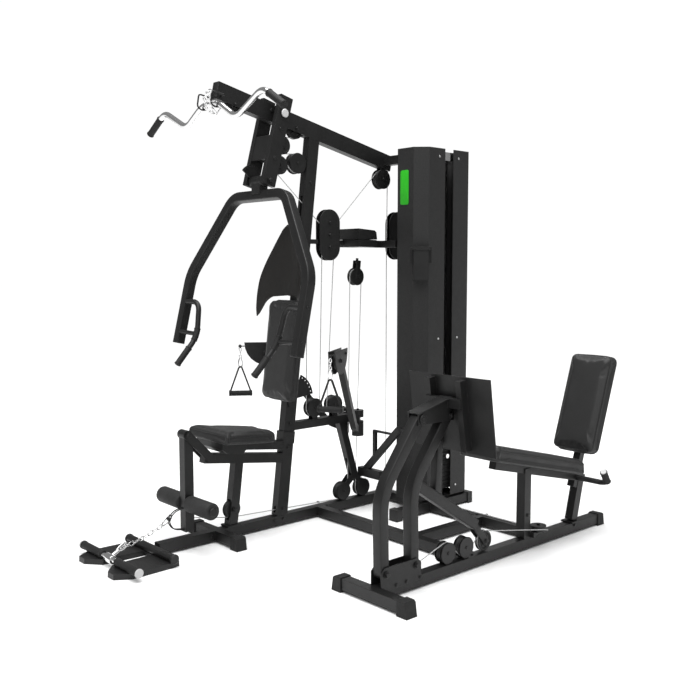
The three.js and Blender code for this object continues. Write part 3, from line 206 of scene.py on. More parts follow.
FINISH = {
    "powder_coat": coat("powder_coat", grey(0.006), grey(0.010), (0.38, 0.5), 520.0, 0.00025),
    "shroud_paint": coat("shroud_paint", grey(0.010), grey(0.019), (0.46, 0.58), 260.0, 0.0005,
                         edge=0.003, mottling=160.0),
    "vinyl": leather("vinyl", grey(0.005), grey(0.011), 420.0, 0.0006),
    "foam": coat("foam", grey(0.014), grey(0.022), (0.62, 0.74), 420.0, 0.0006, edge=0.0),
    "rubber": coat("rubber", grey(0.006), grey(0.010), (0.6, 0.75), 380.0, 0.0003, edge=0.003),
    "plastic": coat("plastic", grey(0.006), grey(0.010), (0.36, 0.46), 650.0, 0.0001, edge=0.0015),
    "shield": coat("shield", grey(0.009, 0.08), grey(0.013, 0.08), (0.34, 0.42), 900.0, 0.00005,
                   edge=0.0),
    "chrome": polished("chrome", 0.86, 0.08, 0.2),
    "cast_iron": coat("cast_iron", grey(0.014), grey(0.024), (0.55, 0.7), 240.0, 0.0006),
    "wire": stranded("wire"),
    "zinc": polished("zinc", 0.62, 0.26, 0.4),
    "pale_cap": coat("pale_cap", grey(0.42), grey(0.5), (0.35, 0.45), 300.0, 0.0001, edge=0.0015),
    "badge": coat("badge", (0.020, 0.335, 0.014), (0.027, 0.40, 0.018), (0.32, 0.4), 500.0, 0.00008,
                  edge=0.001),
}


# ---- shapes -------------------------------------------------------------------------------------


class Shape:
    """Vertices in machine millimetres and faces, gathered for one piece."""

    def __init__(self):
        self.points = []
        self.faces = []

    def add(self, points, faces):
        first = len(self.points)
        self.points += [Vector(p) for p in points]
        self.faces += [[first + i for i in face] for face in faces]
        return self

    def turned(self, matrix):
        self.points = [matrix @ p for p in self.points]
        return self

    def take(self, other):
        return self.add(other.points, other.faces)

    def piece(self, name, finish, body, replaces=(), sharp=35.0):
        mesh = bpy.data.meshes.new(name)
        mesh.from_pydata([at(p) for p in self.points], [], self.faces)
        repair = bmesh.new()
        repair.from_mesh(mesh)
        bmesh.ops.recalc_face_normals(repair, faces=repair.faces)
        repair.to_mesh(mesh)
        repair.free()
        mesh.polygons.foreach_set("use_smooth", [True] * len(mesh.polygons))
        mesh.set_sharp_from_angle(angle=math.radians(sharp))
        return finished(bpy.data.objects.new(name, mesh), finish, body, replaces)


def finished(obj, finish, body, replaces):
    """Gives the piece its finish, its body and the CAD nodes that it stands for."""
    if obj.name not in bpy.context.collection.objects:
        bpy.context.collection.objects.link(obj)
    obj.data.materials.clear()
    obj.data.materials.append(FINISH[finish])
    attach(obj, body)
    if replaces:
        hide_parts(*replaces)
    return obj


def circle(radius, sides):
    turn = 2 * math.pi / sides
    return [(radius * math.cos(i * turn), radius * math.sin(i * turn)) for i in range(sides)]


def rounded_rectangle(width, height, radius, steps=3):
    points = []
    corners = ((1, 1), (-1, 1), (-1, -1), (1, -1))
    for quarter, (sx, sy) in enumerate(corners):
        cx, cy = sx * (width / 2 - radius), sy * (height / 2 - radius)
        for i in range(steps + 1):
            angle = (quarter + i / steps) * math.pi / 2
            points.append((cx + radius * math.cos(angle), cy + radius * math.sin(angle)))
    return points


def bent(points, reach, steps=8):
    """Straight runs joined by round bends."""
    corners = [Vector(p) for p in points]
    path = [corners[0]]
    for before, corner, after in zip(corners, corners[1:], corners[2:]):
        back, ahead = before - corner, after - corner
        r = min(reach, back.length * 0.48, ahead.length * 0.48)
        a, b = corner + back.normalized() * r, corner + ahead.normalized() * r
        for i in range(steps + 1):
            t = i / steps
            path.append(a * (1 - t) ** 2 + corner * 2 * t * (1 - t) + b * t ** 2)
    return path + [corners[-1]]


def swept(points, profile, hint=ALONG_X, closed=False, scales=None):
    """A profile carried along a path; hint is the direction its first axis starts out in."""
    path = [Vector(p) for p in points]
    count, sides = len(path), len(profile)
    shape, rings, across = Shape(), [], Vector(hint)
    start = (path[1] - path[0]).normalized()
    if abs(start.dot(across.normalized())) > 0.99:
        across = start.orthogonal()
    for i, centre in enumerate(path):
        before = path[i - 1] if i or closed else centre
        after = path[(i + 1) % count] if i < count - 1 or closed else centre
        along = (after - before).normalized()
        across = (across - along * across.dot(along)).normalized()
        other = along.cross(across)
        scale = scales[i] if scales else 1.0
        rings += [centre + across * (u * scale) + other * (v * scale) for u, v in profile]
    spans = count if closed else count - 1
    faces = []
    for i in range(spans):
        a, b = i * sides, ((i + 1) % count) * sides
        faces += [(a + k, a + (k + 1) % sides, b + (k + 1) % sides, b + k) for k in range(sides)]
    if not closed:
        faces += [tuple(range(sides))[::-1], tuple(range((count - 1) * sides, count * sides))]
    return shape.add(rings, faces)


def tube(points, radius, bend=0.0, sides=20, hint=ALONG_X):
    path = bent(points, bend) if bend else points
    return swept(path, circle(radius, sides), hint)


def eased(start, end, profile, hint, ease, size):
    """A straight bar whose two ends are rounded off by ease, for a profile of half width size."""
    start, end = Vector(start), Vector(end)
    step = (end - start).normalized() * ease
    return swept([start, start + step, end - step, end], profile, hint,
                 scales=[1 - ease / size, 1, 1, 1 - ease / size])


def block(x0, x1, y0, y1, z0, z1, radius):
    """A box with rounded long edges and eased ends."""
    centre_x, centre_z = (x0 + x1) / 2, (z0 + z1) / 2
    profile = rounded_rectangle(x1 - x0, z1 - z0, radius)
    size = min(x1 - x0, z1 - z0) / 2
    return eased((centre_x, y0, centre_z), (centre_x, y1, centre_z), profile, ALONG_X, radius, size)


CORE = 0.05  # the tiny radius at which turned shapes close on their axis
WASHER = 1.6
CHAIN_WIRE = 2.7


def turned_about(profile, centre, axis=ALONG_X, sides=40):
    """A closed outline of (radius, distance along the axis) pairs, turned about the axis."""
    axis = Vector(axis).normalized()
    side = axis.orthogonal().normalized()
    other = axis.cross(side)
    count = len(profile)
    points, faces = [], []
    for i in range(sides):
        angle = 2 * math.pi * i / sides
        out = side * math.cos(angle) + other * math.sin(angle)
        points += [Vector(centre) + out * r + axis * h for r, h in profile]
    for i in range(sides):
        a, b = i * count, ((i + 1) % sides) * count
        faces += [(a + k, a + (k + 1) % count, b + (k + 1) % count, b + k) for k in range(count)]
    return Shape().add(points, faces)


def plug(radius, length, centre, axis, ease=2.0, sides=32):
    """A short solid disc with an eased outer edge, centred on its length."""
    half = length / 2
    profile = [(CORE, -half), (radius - ease, -half), (radius, -half + ease), (radius, half - ease),
               (radius - ease, half), (CORE, half)]
    return turned_about(profile, centre, axis, sides)


def bolt(centre, axis, radius, height):
    """A washer and a chamfered hexagon head standing on a surface."""
    axis = Vector(axis).normalized()
    centre = Vector(centre)
    washer = plug(radius * 1.35, WASHER, centre + axis * WASHER / 2, axis, 0.5, 24)
    head = [(CORE, WASHER), (radius, WASHER), (radius, height), (radius * 0.86, height + 1.2),
            (CORE, height + 1.4)]
    return washer.take(turned_about(head, centre, axis, 6))


def chain_link(centre, along, across, length, width):
    """An oval of round wire."""
    along, across = Vector(along).normalized(), Vector(across).normalized()
    centre = Vector(centre)
    half, turn = length / 2 - width / 2, width / 2 - CHAIN_WIRE
    path = []
    for end in (1, -1):
        for i in range(7):
            angle = -math.pi / 2 + math.pi * i / 6
            path.append(centre + along * end * (half + turn * math.cos(angle))
                        + across * end * turn * math.sin(angle))
    return swept(path, circle(CHAIN_WIRE, 8), along.cross(across), closed=True)


def chain(points, pitch=20.5, side=ALONG_X):
    """Links laid end to end along a path, each a quarter turn from the last."""
    shape = Shape()
    path = [Vector(p) for p in points]
    lengths = [(b - a).length for a, b in zip(path, path[1:])]
    total = sum(lengths)
    count = max(1, round(total / pitch))
    for k in range(count):
        s = (k + 0.5) * total / count
        i = 0
        while i < len(lengths) - 1 and s > lengths[i]:
            s -= lengths[i]
            i += 1
        along = (path[i + 1] - path[i]).normalized()
        first = (Vector(side) - along * Vector(side).dot(along)).normalized()
        across = first if k % 2 else along.cross(first)
        shape.take(chain_link(path[i] + along * s, along, across, pitch + 8, pitch * 0.88))
    return shape


def snap_hook(centre, along, across, length, width, wire=3.6):
    """A closed pear-shaped hook of round wire, wider at one end."""
    along, across = Vector(along).normalized(), Vector(across).normalized()
    path, steps = [], 28
    for i in range(steps):
        angle = 2 * math.pi * i / steps
        wide = width / 2 * (0.72 + 0.28 * math.cos(angle))
        path.append(Vector(centre) + along * (length / 2 * math.cos(angle))
                    + across * (wide * math.sin(angle)))
    return swept(path, circle(wire, 8), along.cross(across), closed=True)


# ---- finishes of the fixed frame's own nodes ----------------------------------------------------

for part in frame["record"]["subparts"]:
    node = bpy.data.objects[part["node"]]
    for slot in node.material_slots:
        slot.material = FINISH[part["material_slot"]]


# ---- soft pads ----------------------------------------------------------------------------------

VOXEL = 6.0
SIM_FRAMES = 20
PAD_CAP = 9.0  # how far a point of a pad may swell
PAD_PRESSURE = 4.0
BOARD_HELD = 0.010  # metres above the board up to which the pad is held
SEAM_REACH = 14.0  # how far outside the outline the search for the seam's line starts
WELT = 1.7


def offset_outline(outline, inset):
    """The closed outline moved inwards, for an anticlockwise list of points."""
    result = []
    for i, p in enumerate(outline):
        before, after = Vector(outline[i - 1]), Vector(outline[(i + 1) % len(outline)])
        along = (after - before).normalized()
        result.append(Vector(p) + Vector((-along.y, along.x)) * inset)
    return result


def softened_outline(points, reach):
    """Closed outline with its corners rounded."""
    closed, steps = [Vector(p) for p in points], 6
    result = []
    for i, corner in enumerate(closed):
        back, ahead = closed[i - 1] - corner, closed[(i + 1) % len(closed)] - corner
        r = min(reach, back.length * 0.45, ahead.length * 0.45)
        a, b = corner + back.normalized() * r, corner + ahead.normalized() * r
        for k in range(steps + 1):
            t = k / steps
            result.append(a * (1 - t) ** 2 + corner * 2 * t * (1 - t) + b * t ** 2)
    return result


def pad_blank(outline, thick):
    """Closed block in its own axes: the board at z = 0, the comfort side at z = thick, edges rounded."""
    levels = [(0.0, 4.0), (2.5, 1.0), (9.0, 0.0), (thick * 0.5, 0.0), (thick - 12, 0.5),
              (thick - 5, 3.0), (thick - 1.5, 8.0), (thick, 15.0)]
    shape, count = Shape(), len(outline)
    for height, inset in levels:
        for p in offset_outline(outline, inset):
            shape.points.append(Vector((p.x, p.y, height)))
    for i in range(len(levels) - 1):
        a, b = i * count, (i + 1) * count
        shape.faces += [[a + k, a + (k + 1) % count, b + (k + 1) % count, b + k] for k in range(count)]
    last = (len(levels) - 1) * count
    shape.faces += [list(range(count))[::-1], list(range(last, last + count))]
    return shape


def apply_modifiers(obj):
    graph = bpy.context.evaluated_depsgraph_get()
    mesh = bpy.data.meshes.new_from_object(obj.evaluated_get(graph))
    obj.modifiers.clear()
    old, obj.data = obj.data, mesh
    bpy.data.meshes.remove(old)


def inflate(obj, cap, pressure, board):
    """Swells the pad with cloth pressure. Its board side is held, and no point moves past cap."""
    held = obj.vertex_groups.new(name="board")
    held.add([v.index for v in obj.data.vertices if v.co.z < board], 1.0, "REPLACE")
    rest = [v.co.copy() for v in obj.data.vertices]
    cloth = obj.modifiers.new("cloth", "CLOTH")
    cloth.settings.quality = 5
    cloth.settings.mass = 0.3
    cloth.settings.use_pressure = True
    cloth.settings.uniform_pressure_force = pressure
    cloth.settings.effector_weights.gravity = 0
    cloth.settings.vertex_group_mass = held.name
    cloth.collision_settings.use_collision = False
    for step in range(1, SIM_FRAMES + 1):
        bpy.context.scene.frame_set(step)
    graph = bpy.context.evaluated_depsgraph_get()
    swollen = [v.co.copy() for v in obj.evaluated_get(graph).data.vertices]
    obj.modifiers.remove(cloth)
    for vertex, start, end in zip(obj.data.vertices, rest, swollen):
        move = end - start
        if move.length > cap:
            move *= cap / move.length
        vertex.co = start + move
    bpy.context.scene.frame_set(1)


def remeshed(name, outline, thick):
    """The pad's blank as an even voxel mesh with its edges relaxed."""
    blank = pad_blank(outline, thick)
    mesh = bpy.data.meshes.new(name)
    mesh.from_pydata([p / 1000 for p in blank.points], [], blank.faces)
    obj = bpy.data.objects.new(name, mesh)
    bpy.context.collection.objects.link(obj)
    remesh = obj.modifiers.new("remesh", "REMESH")
    remesh.mode = "VOXEL"
    remesh.voxel_size = VOXEL / 1000
    apply_modifiers(obj)
    smooth = obj.modifiers.new("smooth", "SMOOTH")
    smooth.factor, smooth.iterations = 0.5, 4
    apply_modifiers(obj)
    return obj


def seam_paths(obj, outline, heights, to_frame):
    """Closed paths round the swollen pad at the given heights, in the machine's millimetres."""
    surface = BVHTree.FromObject(obj, bpy.context.evaluated_depsgraph_get())
    paths = []
    for height in heights:
        targets = [Vector((p.x, p.y, height)) / 1000 for p in offset_outline(outline, -SEAM_REACH)]
        paths.append([(to_frame @ surface.find_nearest(t)[0] - SHIFT) * 1000 for t in targets])
    return paths


def pad(name, outline, thick, place, body, node):
    """A stuffed pad on its board. place is a matrix from the pad's axes to machine millimetres."""
    blank_thick = thick - PAD_CAP * 0.55
    obj = remeshed(name, outline, blank_thick)
    inflate(obj, PAD_CAP / 1000, PAD_PRESSURE, BOARD_HELD)
    divide = obj.modifiers.new("divide", "SUBSURF")
    divide.levels = divide.render_levels = 1
    apply_modifiers(obj)
    to_frame = Matrix.Translation(SHIFT) @ Matrix.Scale(0.001, 4) @ place @ Matrix.Scale(1000, 4)
    seams = seam_paths(obj, outline, (blank_thick - 8, 11.0), to_frame)
    obj.data.transform(to_frame)
    obj.data.polygons.foreach_set("use_smooth", [True] * len(obj.data.polygons))
    finished(obj, "vinyl", body, (node,))
    welt = Shape()
    for ring in seams:
        welt.take(swept(ring, circle(WELT, 8), place.to_3x3() @ UP, closed=True))
    welt.piece(name + "_welt", "vinyl", body)


SEAT_OUTLINE = [(-186, 0), (186, 0), (172, 40), (160, 150), (126, 330), (100, 372), (-100, 372),
                (-126, 330), (-160, 150), (-172, 40)]
SEAT_TILT = math.atan(-0.118)
BACK_LEAN = math.atan(0.118)
PRESS_X = 1145
PRESS_FALL = math.atan2(407 - 587, 786 - 40)
PRESS_LEAN = math.atan2(966 - 792, 949 - 452)
FACING_FRONT = Matrix(((1, 0, 0, 0), (0, 0, -1, 0), (0, 1, 0, 0), (0, 0, 0, 1)))


def placed(x, y, z, tilt, board, facing=None):
    """From a pad's axes to the machine: board is how far its board lies below the given point."""
    matrix = Matrix.Translation((x, y, z)) @ Matrix.Rotation(tilt, 4, "X")
    if facing is not None:
        matrix = matrix @ facing
    return matrix @ Matrix.Translation((0, 0, -board))


pad("seat_cushion", softened_outline(SEAT_OUTLINE, 30), 58,
    placed(0, -705, 590, SEAT_TILT, 58), "seat", "seat_pad")
pad("back_cushion", rounded_rectangle(272, 540, 46, 8), 56,
    placed(0, -222.9, 960, -BACK_LEAN, 28, FACING_FRONT), "backrest", "back_pad")
pad("press_seat_cushion", rounded_rectangle(240, 767, 40, 8), 70,
    placed(PRESS_X, 413, 497, PRESS_FALL, 70), "frame", "press_seat_pad")
pad("press_back_cushion", rounded_rectangle(256, 526, 36, 8), 70,
    placed(PRESS_X, 879, 700.5, -PRESS_LEAN, 70, FACING_FRONT), "frame", "press_back_pad")

# ---- foam rollers of the leg extension ----------------------------------------------------------


def foam_roller(name, body, node, side):
    inner, outer, radius, bore = 30, 232, 42, 10
    ends = [(bore, inner), (radius - 7, inner), (radius - 2, inner + 2), (radius, inner + 8)]
    mirrored = [(r, inner + outer - h) for r, h in reversed(ends)]
    sleeve = turned_about(ends + mirrored, (0, -829, 232), (side, 0, 0), 48)
    piece = sleeve.piece(name, "foam", body, (node,), sharp=60)
    cap = plug(22, 8, (side * (outer + 9), -829, 232), (side, 0, 0), 3)
    cap.piece(name + "_cap", "plastic", "leg_arm")


foam_roller("foam_sleeve_left", "foam_left", "foam_roller_left", -1)
foam_roller("foam_sleeve_right", "foam_right", "foam_roller_right", 1)

# ---- pulleys ------------------------------------------------------------------------------------

HALF_WIDTH = 12


def pulley(centre, radius, axis=ALONG_X, swell=0.0):
    """A moulded cable wheel: hub, sunk web with its ribs, and a grooved rim."""
    h = HALF_WIDTH + swell
    r = radius + swell
    half = [(6.4, h + 1), (13, h + 1), (15, h - 1), (17, h - 5), (r - 13, h - 5), (r - 11, h - 1.5),
            (r - 9, h), (r - 1.5, h), (r, h - 1.5), (r - 4.5, 6.0), (r - 7.5, 3.2)]
    outline = half + [(radius_, -height) for radius_, height in reversed(half)]
    wheel = turned_about(outline, centre, axis, 56)
    axis = Vector(axis).normalized()
    side = axis.orthogonal().normalized()
    for i in range(6):
        out = Matrix.Rotation(math.pi * i / 3, 3, axis) @ side
        foot, tip = Vector(centre) + out * 14, Vector(centre) + out * (r - 11)
        wheel.take(swept([foot, tip], rounded_rectangle(2 * h - 4, 3.2, 1.2, 1), axis))
    return wheel


def pulley_pins(centre, reach):
    """The two axle nuts of a wheel, at reach to either side of it."""
    nut_radius, nut_height = 8.5, 6.5
    shape = bolt(Vector(centre) + ALONG_X * reach, ALONG_X, nut_radius, nut_height)
    return shape.take(bolt(Vector(centre) - ALONG_X * reach, -ALONG_X, nut_radius, nut_height))


WHEELS = {
    "boom_front_pulley": (0, -521, 2214, 50), "boom_mid_pulley": (0, -131, 2138, 54),
    "upright_pulley": (0, -121, 1957, 54), "boom_rear_pulley": (0, 515, 1916, 56),
    "arm_pulley_front": (0, -8, 626, 52), "arm_pulley_rear": (0, 141, 628, 52),
    "base_pulley_front": (0, 205, 115, 50), "base_pulley_rear": (0, 358, 115, 50),
    "press_pulley_front": (PRESS_X, -181, 115, 48), "press_pulley_rear": (PRESS_X, -56, 115, 48),
    "lever_pulley": (PRESS_X, 88, 115, 48),
}
hardware = {}


def fit(body, shape):
    """Adds bolts and nuts to the one hardware piece of a body."""
    hardware.setdefault(body, Shape()).take(shape)


for name, (x, y, z, radius) in WHEELS.items():
    pulley((x, y, z), radius).piece(name + "_wheel", "plastic", name, (name,))
    reach = 26.0 if name.startswith("boom_front") or name.startswith("boom_mid") else 19.0
    fit("rear_press_leg" if name == "lever_pulley" else "frame", pulley_pins((x, y, z), reach))

UNCOVERED = ("boom_front_pulley", "boom_mid_pulley", "lever_pulley")


def pulley_covers():
    """Round plates outside the cheeks of every pulley that stands clear of the boom."""
    covers = Shape()
    for name, (x, y, z, radius) in WHEELS.items():
        if name in UNCOVERED:
            continue
        for side in (-1, 1):
            covers.take(plug(radius + 1, 3.4, (x + side * 20.4, y, z), ALONG_X, 1.5, 48))
    covers.piece("pulley_covers", "plastic", "frame")


pulley_covers()

FIXED_WHEELS = {
    "frame": [((0, -562, 150), 48)],
    "press_yoke": [((0, -215, 2045), 48), ((0, -233, 1940), 48)],
    "double_block": [((0, 106, 1651), 48), ((0, 106, 1515), 48)],
    "single_block": [((0, 314, 1351), 48)],
}
for body, places in FIXED_WHEELS.items():
    group = Shape()
    for centre, radius in places:
        group.take(pulley(centre, radius, ALONG_X, 0.6))
    group.piece(body + "_wheels", "plastic", body)

# ---- floating blocks ----------------------------------------------------------------------------


def capsule_plates(y, z):
    shape = Shape()
    outline = rounded_rectangle(147, 282, 72, 14)
    for side in (-1, 1):
        start, end = Vector((side * 14, y, z)), Vector((side * 18.4, y, z))
        shape.take(swept([start, start.lerp(end, 0.7), end], outline, (0, 1, 0), scales=[1, 1, 0.988]))
    return shape


capsule_plates(106, 1583).piece("double_block_cheeks", "powder_coat", "double_block", ("double_block",))
capsule_plates(643, 1591).piece("tower_bracket_cheeks", "powder_coat", "frame")
for centre in ((0, 106, 1651), (0, 106, 1515), (0, 106, 1583)):
    fit("double_block", pulley_pins(centre, 18.4))
for centre in ((0, 643, 1659), (0, 643, 1523)):
    fit("frame", pulley_pins(centre, 18.4))


def single_block_cheeks():
    shape = Shape()
    low, high = Vector((0, 314, 1335)), Vector((0, 326, 1443))
    for side in (-1, 1):
        x = Vector((side * 16, 0, 0))
        shape.take(eased(low + x, high + x, rounded_rectangle(4.4, 30.4, 1.5), ALONG_X, 3, 15))
    shape.take(plug(9, 36, (0, 325, 1435), ALONG_X))
    for side in (-1, 1):
        shape.take(plug(50, 3.6, (side * 15.8, 314, 1351), ALONG_X, 1.5, 48))
    return shape.take(tube([(0, 325, 1435), (0, 327, 1456)], 7.5))


single_block_cheeks().piece("single_block_cheeks", "powder_coat", "single_block", ("single_block",))
fit("single_block", pulley_pins((0, 314, 1351), 18.2))

# ---- press arms ---------------------------------------------------------------------------------

ARM_TOP = Vector((0, -360, 1773))
ARM_PIVOT = Vector((0, -360, 1846))
FAN_START, FAN_END = 78, 142
ARM_TILT = math.atan(0.231)
ARM_ACROSS = Vector((0, math.cos(ARM_TILT), -math.sin(ARM_TILT)))


def arm_point(x, z):
    """A point of the tilted plane that both arms lie in, at the given height."""
    return Vector((x, ARM_TOP.y + (z - ARM_TOP.z) * math.tan(ARM_TILT), z))


def press_arm_frame():
    half = [(224, 1773), (520, 1364), (528, 986)]
    corners = [arm_point(-x, z) for x, z in reversed(half)] + [arm_point(x, z) for x, z in half]
    path = bent(corners, 60, 10)
    return swept(path, rounded_rectangle(50, 50, 5, 4), ARM_ACROSS)


def press_handles():
    rods, grips = Shape(), Shape()
    for side in (-1, 1):
        points = [(side * 505, -500, 1214), (side * 388, -492, 1216), (side * 358, -528, 1030),
                  (side * 349, -661, 885)]
        path = bent(points, 60, 8)
        rods.take(tube(path, 14.5, sides=24))
        rods.take(tube([(side * 505, -540, 1050), (side * 360, -526, 1042)], 12))
        grips.take(grip_sleeve(path[11:17], 16.8, 18.5))
        grips.take(grip_sleeve([path[-1].lerp(path[-2], 0.86), path[-1] * 1.0], 17, 19))
    return rods, grips


def grip_sleeve(path, radius, collar):
    """A rubber grip with a low collar at each end and shallow rings along it."""
    samples, radii = [], []
    for i in range(41):
        t = i / 40 * (len(path) - 1)
        k = min(int(t), len(path) - 2)
        samples.append(Vector(path[k]).lerp(Vector(path[k + 1]), t - k))
        edge = min(i, 40 - i)
        radii.append(radius * 0.9 if edge == 0 else collar if edge < 3 else
                     radius * (1.0 + 0.018 * math.cos(i * math.pi)))
    return swept(samples, circle(1.0, 24), ALONG_X, scales=radii)


def fan_plate(y, z, radius, start, end, x0, x1):
    """A fan-shaped adjuster plate about an X axis, from start to end in degrees."""
    shape = Shape()
    angles = [math.radians(start + (end - start) * i / 16) for i in range(17)]
    rim = [(y + radius * math.cos(a), z + radius * math.sin(a)) for a in angles]
    outline = [(y, z), *rim]
    points = [(x, *p) for x in (x0, x1) for p in outline]
    n = len(outline)
    faces = [tuple(range(n)), tuple(range(2 * n - 1, n - 1, -1))]
    faces += [(k, n + k, n + (k + 1) % n, (k + 1) % n) for k in range(n)]
    return shape.add(points, faces)


def press_arms():
    """The bent frame with the lug, tube, pin and adjuster plate that it hangs from."""
    arms = press_arm_frame()
    arms.take(swept([(0, -362, 1781), ARM_PIVOT], rounded_rectangle(70, 56, 4)))
    arms.take(plug(30, 118, ARM_PIVOT, ALONG_X, 3))
    arms.take(plug(8, 186, ARM_PIVOT, ALONG_X, 1))
    arms.take(fan_plate(ARM_PIVOT.y, ARM_PIVOT.z, 94, FAN_START, FAN_END, -52, -46))
    arms.piece("press_arm_frame", "powder_coat", "press_arms", ("press_arms",))
    rods, grips = press_handles()
    rods.piece("press_handles", "powder_coat", "press_arms")
    grips.piece("press_handle_grips", "rubber", "press_arms")


def press_arm_trim(side, word):
    """End cap and bolts of one arm."""
    foot, knee = arm_point(side * 528, 986), arm_point(side * 520, 1364)
    heading = (foot - knee).normalized()
    cap = eased(foot - heading * 6, foot + heading * 3.5, rounded_rectangle(51.5, 51.5, 6), ARM_ACROSS,
                2.5, 25)
    cap.piece("press_arm_cap_" + word, "plastic", "press_arms")
    outward = (side, 0, 0)
    fit("press_arms", bolt(ARM_PIVOT + ALONG_X * side * 93, outward, 13, 9))
    fit("press_arms", bolt(arm_point(side * 545, 1214), outward, 9, 6))
    fit("press_arms", bolt(arm_point(side * 548, 1050), outward, 9, 6))


def fan_rivets():
    """The rivets where the adjuster plate's stops are."""
    count, reach = 5, 82
    for i in range(count):
        angle = math.radians(FAN_START + (FAN_END - FAN_START) * (i + 0.7) / (count + 0.4))
        spot = ARM_PIVOT + Vector((-46, reach * math.cos(angle), reach * math.sin(angle)))
        fit("press_arms", plug(5.5, 4, spot, ALONG_X, 1, 16))


press_arms()
press_arm_trim(-1, "left")
press_arm_trim(1, "right")
fan_rivets()

# ---- shield behind the shoulders ----------------------------------------------------------------


SHIELD_BOW, SHIELD_LEAN, SHIELD_THICK, SHIELD_EDGE = 0.00189, 0.07, 6.0, 5
SHIELD_Y, SHIELD_LEVEL = -179, 1239  # where the sheet's middle stands, and at which height
SHIELD_TOP, SHIELD_LOW, SHIELD_NOTCH = 1632, 1137, 1250
SHIELD_COLUMNS, SHIELD_ROWS = 18, 64
SHIELD_OUTER = [(30, SHIELD_TOP), (58, 1612), (96, 1548), (148, 1440), (178, 1350), (188, 1260),
                (189, 1180), (184, 1136)]
SHIELD_INNER = [(184, 1136), (172, 1150), (138, 1222), (100, SHIELD_NOTCH), (0, SHIELD_NOTCH)]


def rounded_line(points, reach):
    return [p.to_2d() for p in bent([(x, z, 0) for x, z in points], reach, 5)]


def reach_at(line, z, otherwise):
    """How far out a line of (x, z) points lies at height z."""
    for a, b in zip(line, line[1:]):
        if min(a.y, b.y) <= z <= max(a.y, b.y) and a.y != b.y:
            return a.x + (b.x - a.x) * (z - a.y) / (b.y - a.y)
    return otherwise


def row_height(row):
    return SHIELD_TOP + (SHIELD_LOW - SHIELD_TOP) * row / SHIELD_ROWS


def shield_points(side, face):
    """One face of one lobe, row by row. The sheet thins towards its rim."""
    outer, inner = rounded_line(SHIELD_OUTER, 40), rounded_line(SHIELD_INNER, 30)
    points = []
    for row in range(SHIELD_ROWS + 1):
        z = row_height(row)
        width = reach_at(outer, z, outer[-1].x)
        gap = 0.0 if z >= SHIELD_NOTCH else reach_at(inner, z, inner[0].x)
        for column in range(SHIELD_COLUMNS + 1):
            x = gap + (width - gap) * column / SHIELD_COLUMNS
            inside = (x - gap) / SHIELD_EDGE if gap else 1.0
            rim = min(1.0, (width - x) / SHIELD_EDGE, (SHIELD_TOP - z + 1) / SHIELD_EDGE, inside)
            depth = SHIELD_THICK / 2 * (0.35 + 0.65 * math.sqrt(max(0.0, rim)))
            middle = SHIELD_Y + SHIELD_LEAN * (z - SHIELD_LEVEL) - SHIELD_BOW * x * x - SHIELD_THICK / 2
            points.append((side * x, middle + (depth if face else -depth), z))
    return points


def shield_faces():
    """Faces of one lobe: its two sheets and the strip round their rim."""
    line = SHIELD_COLUMNS + 1
    sheet = line * (SHIELD_ROWS + 1)
    faces = []
    for first in (0, sheet):
        for row in range(SHIELD_ROWS):
            start = first + row * line
            faces += [[a, a + 1, a + line + 1, a + line] for a in range(start, start + SHIELD_COLUMNS)]
    notched = [row for row in range(SHIELD_ROWS - 1, 0, -1) if row_height(row) < SHIELD_NOTCH]
    rim = list(range(line))
    rim += [row * line + SHIELD_COLUMNS for row in range(1, SHIELD_ROWS + 1)]
    rim += [SHIELD_ROWS * line + column for column in range(SHIELD_COLUMNS - 1, -1, -1)]
    rim += [row * line for row in notched]
    faces += [[a, b, sheet + b, sheet + a] for a, b in zip(rim, rim[1:])]
    return faces


def shield():
    """A bowed sheet cut to two rounded lobes."""
    shape = Shape()
    for side in (-1, 1):
        shape.add(shield_points(side, 0) + shield_points(side, 1), shield_faces())
    return shape


def shield_standoffs():
    """Two blocks between the shield and the upright."""
    shape = Shape()
    for z in (1320, 1500):
        front = -184 + SHIELD_LEAN * (z - SHIELD_LEVEL)
        rear = -256 + 0.1175 * z - 37
        shape.take(block(-18, 18, front + 3, rear, z - 16, z + 16, 4))
    shape.piece("shield_standoffs", "powder_coat", "frame")


shield_piece = shield().piece("shoulder_shield", "shield", "frame", ("neck_shield",), sharp=60)
weld = shield_piece.modifiers.new("weld", "WELD")
weld.merge_threshold = 0.0004
shield_standoffs()

# ---- leg press ----------------------------------------------------------------------------------

LEG_Y, PIVOT_Z, PITCH, HEAD_Y, HEAD_Z, KNEE_Z = -585, 115, 182, -370, 750, 455
LEG_PROFILE = rounded_rectangle(50, 50, 5, 4)


def press_leg(offset):
    path = bent([(PRESS_X, LEG_Y + offset, PIVOT_Z), (PRESS_X, LEG_Y + offset - 8, KNEE_Z),
                 (PRESS_X, HEAD_Y + offset, HEAD_Z)], 90, 14)
    leg = swept(path, LEG_PROFILE)
    for y, z in ((LEG_Y + offset, PIVOT_Z), (HEAD_Y + offset, HEAD_Z)):
        leg.take(plug(25, 49.6, (PRESS_X, y, z), ALONG_X, 3, 40))
    return leg


def rear_leg():
    """The rear leg with its lever and the fork of the pulley at the lever's end."""
    rear = press_leg(PITCH)
    rear.take(swept([(PRESS_X, -395, 472), (PRESS_X, 18, 206)], rounded_rectangle(44, 50, 5, 4)))
    rear.take(swept([(PRESS_X, -238, 640), (PRESS_X, -256, 372)], rounded_rectangle(40, 34, 4, 4)))
    for side in (-1, 1):
        x = PRESS_X + side * 16
        rear.take(eased((x, 100, 100), (x, -4, 216), rounded_rectangle(5, 34, 1.5), ALONG_X, 3, 17))
    return rear.take(plug(6, 46, (PRESS_X, 88, 115), ALONG_X, 1))


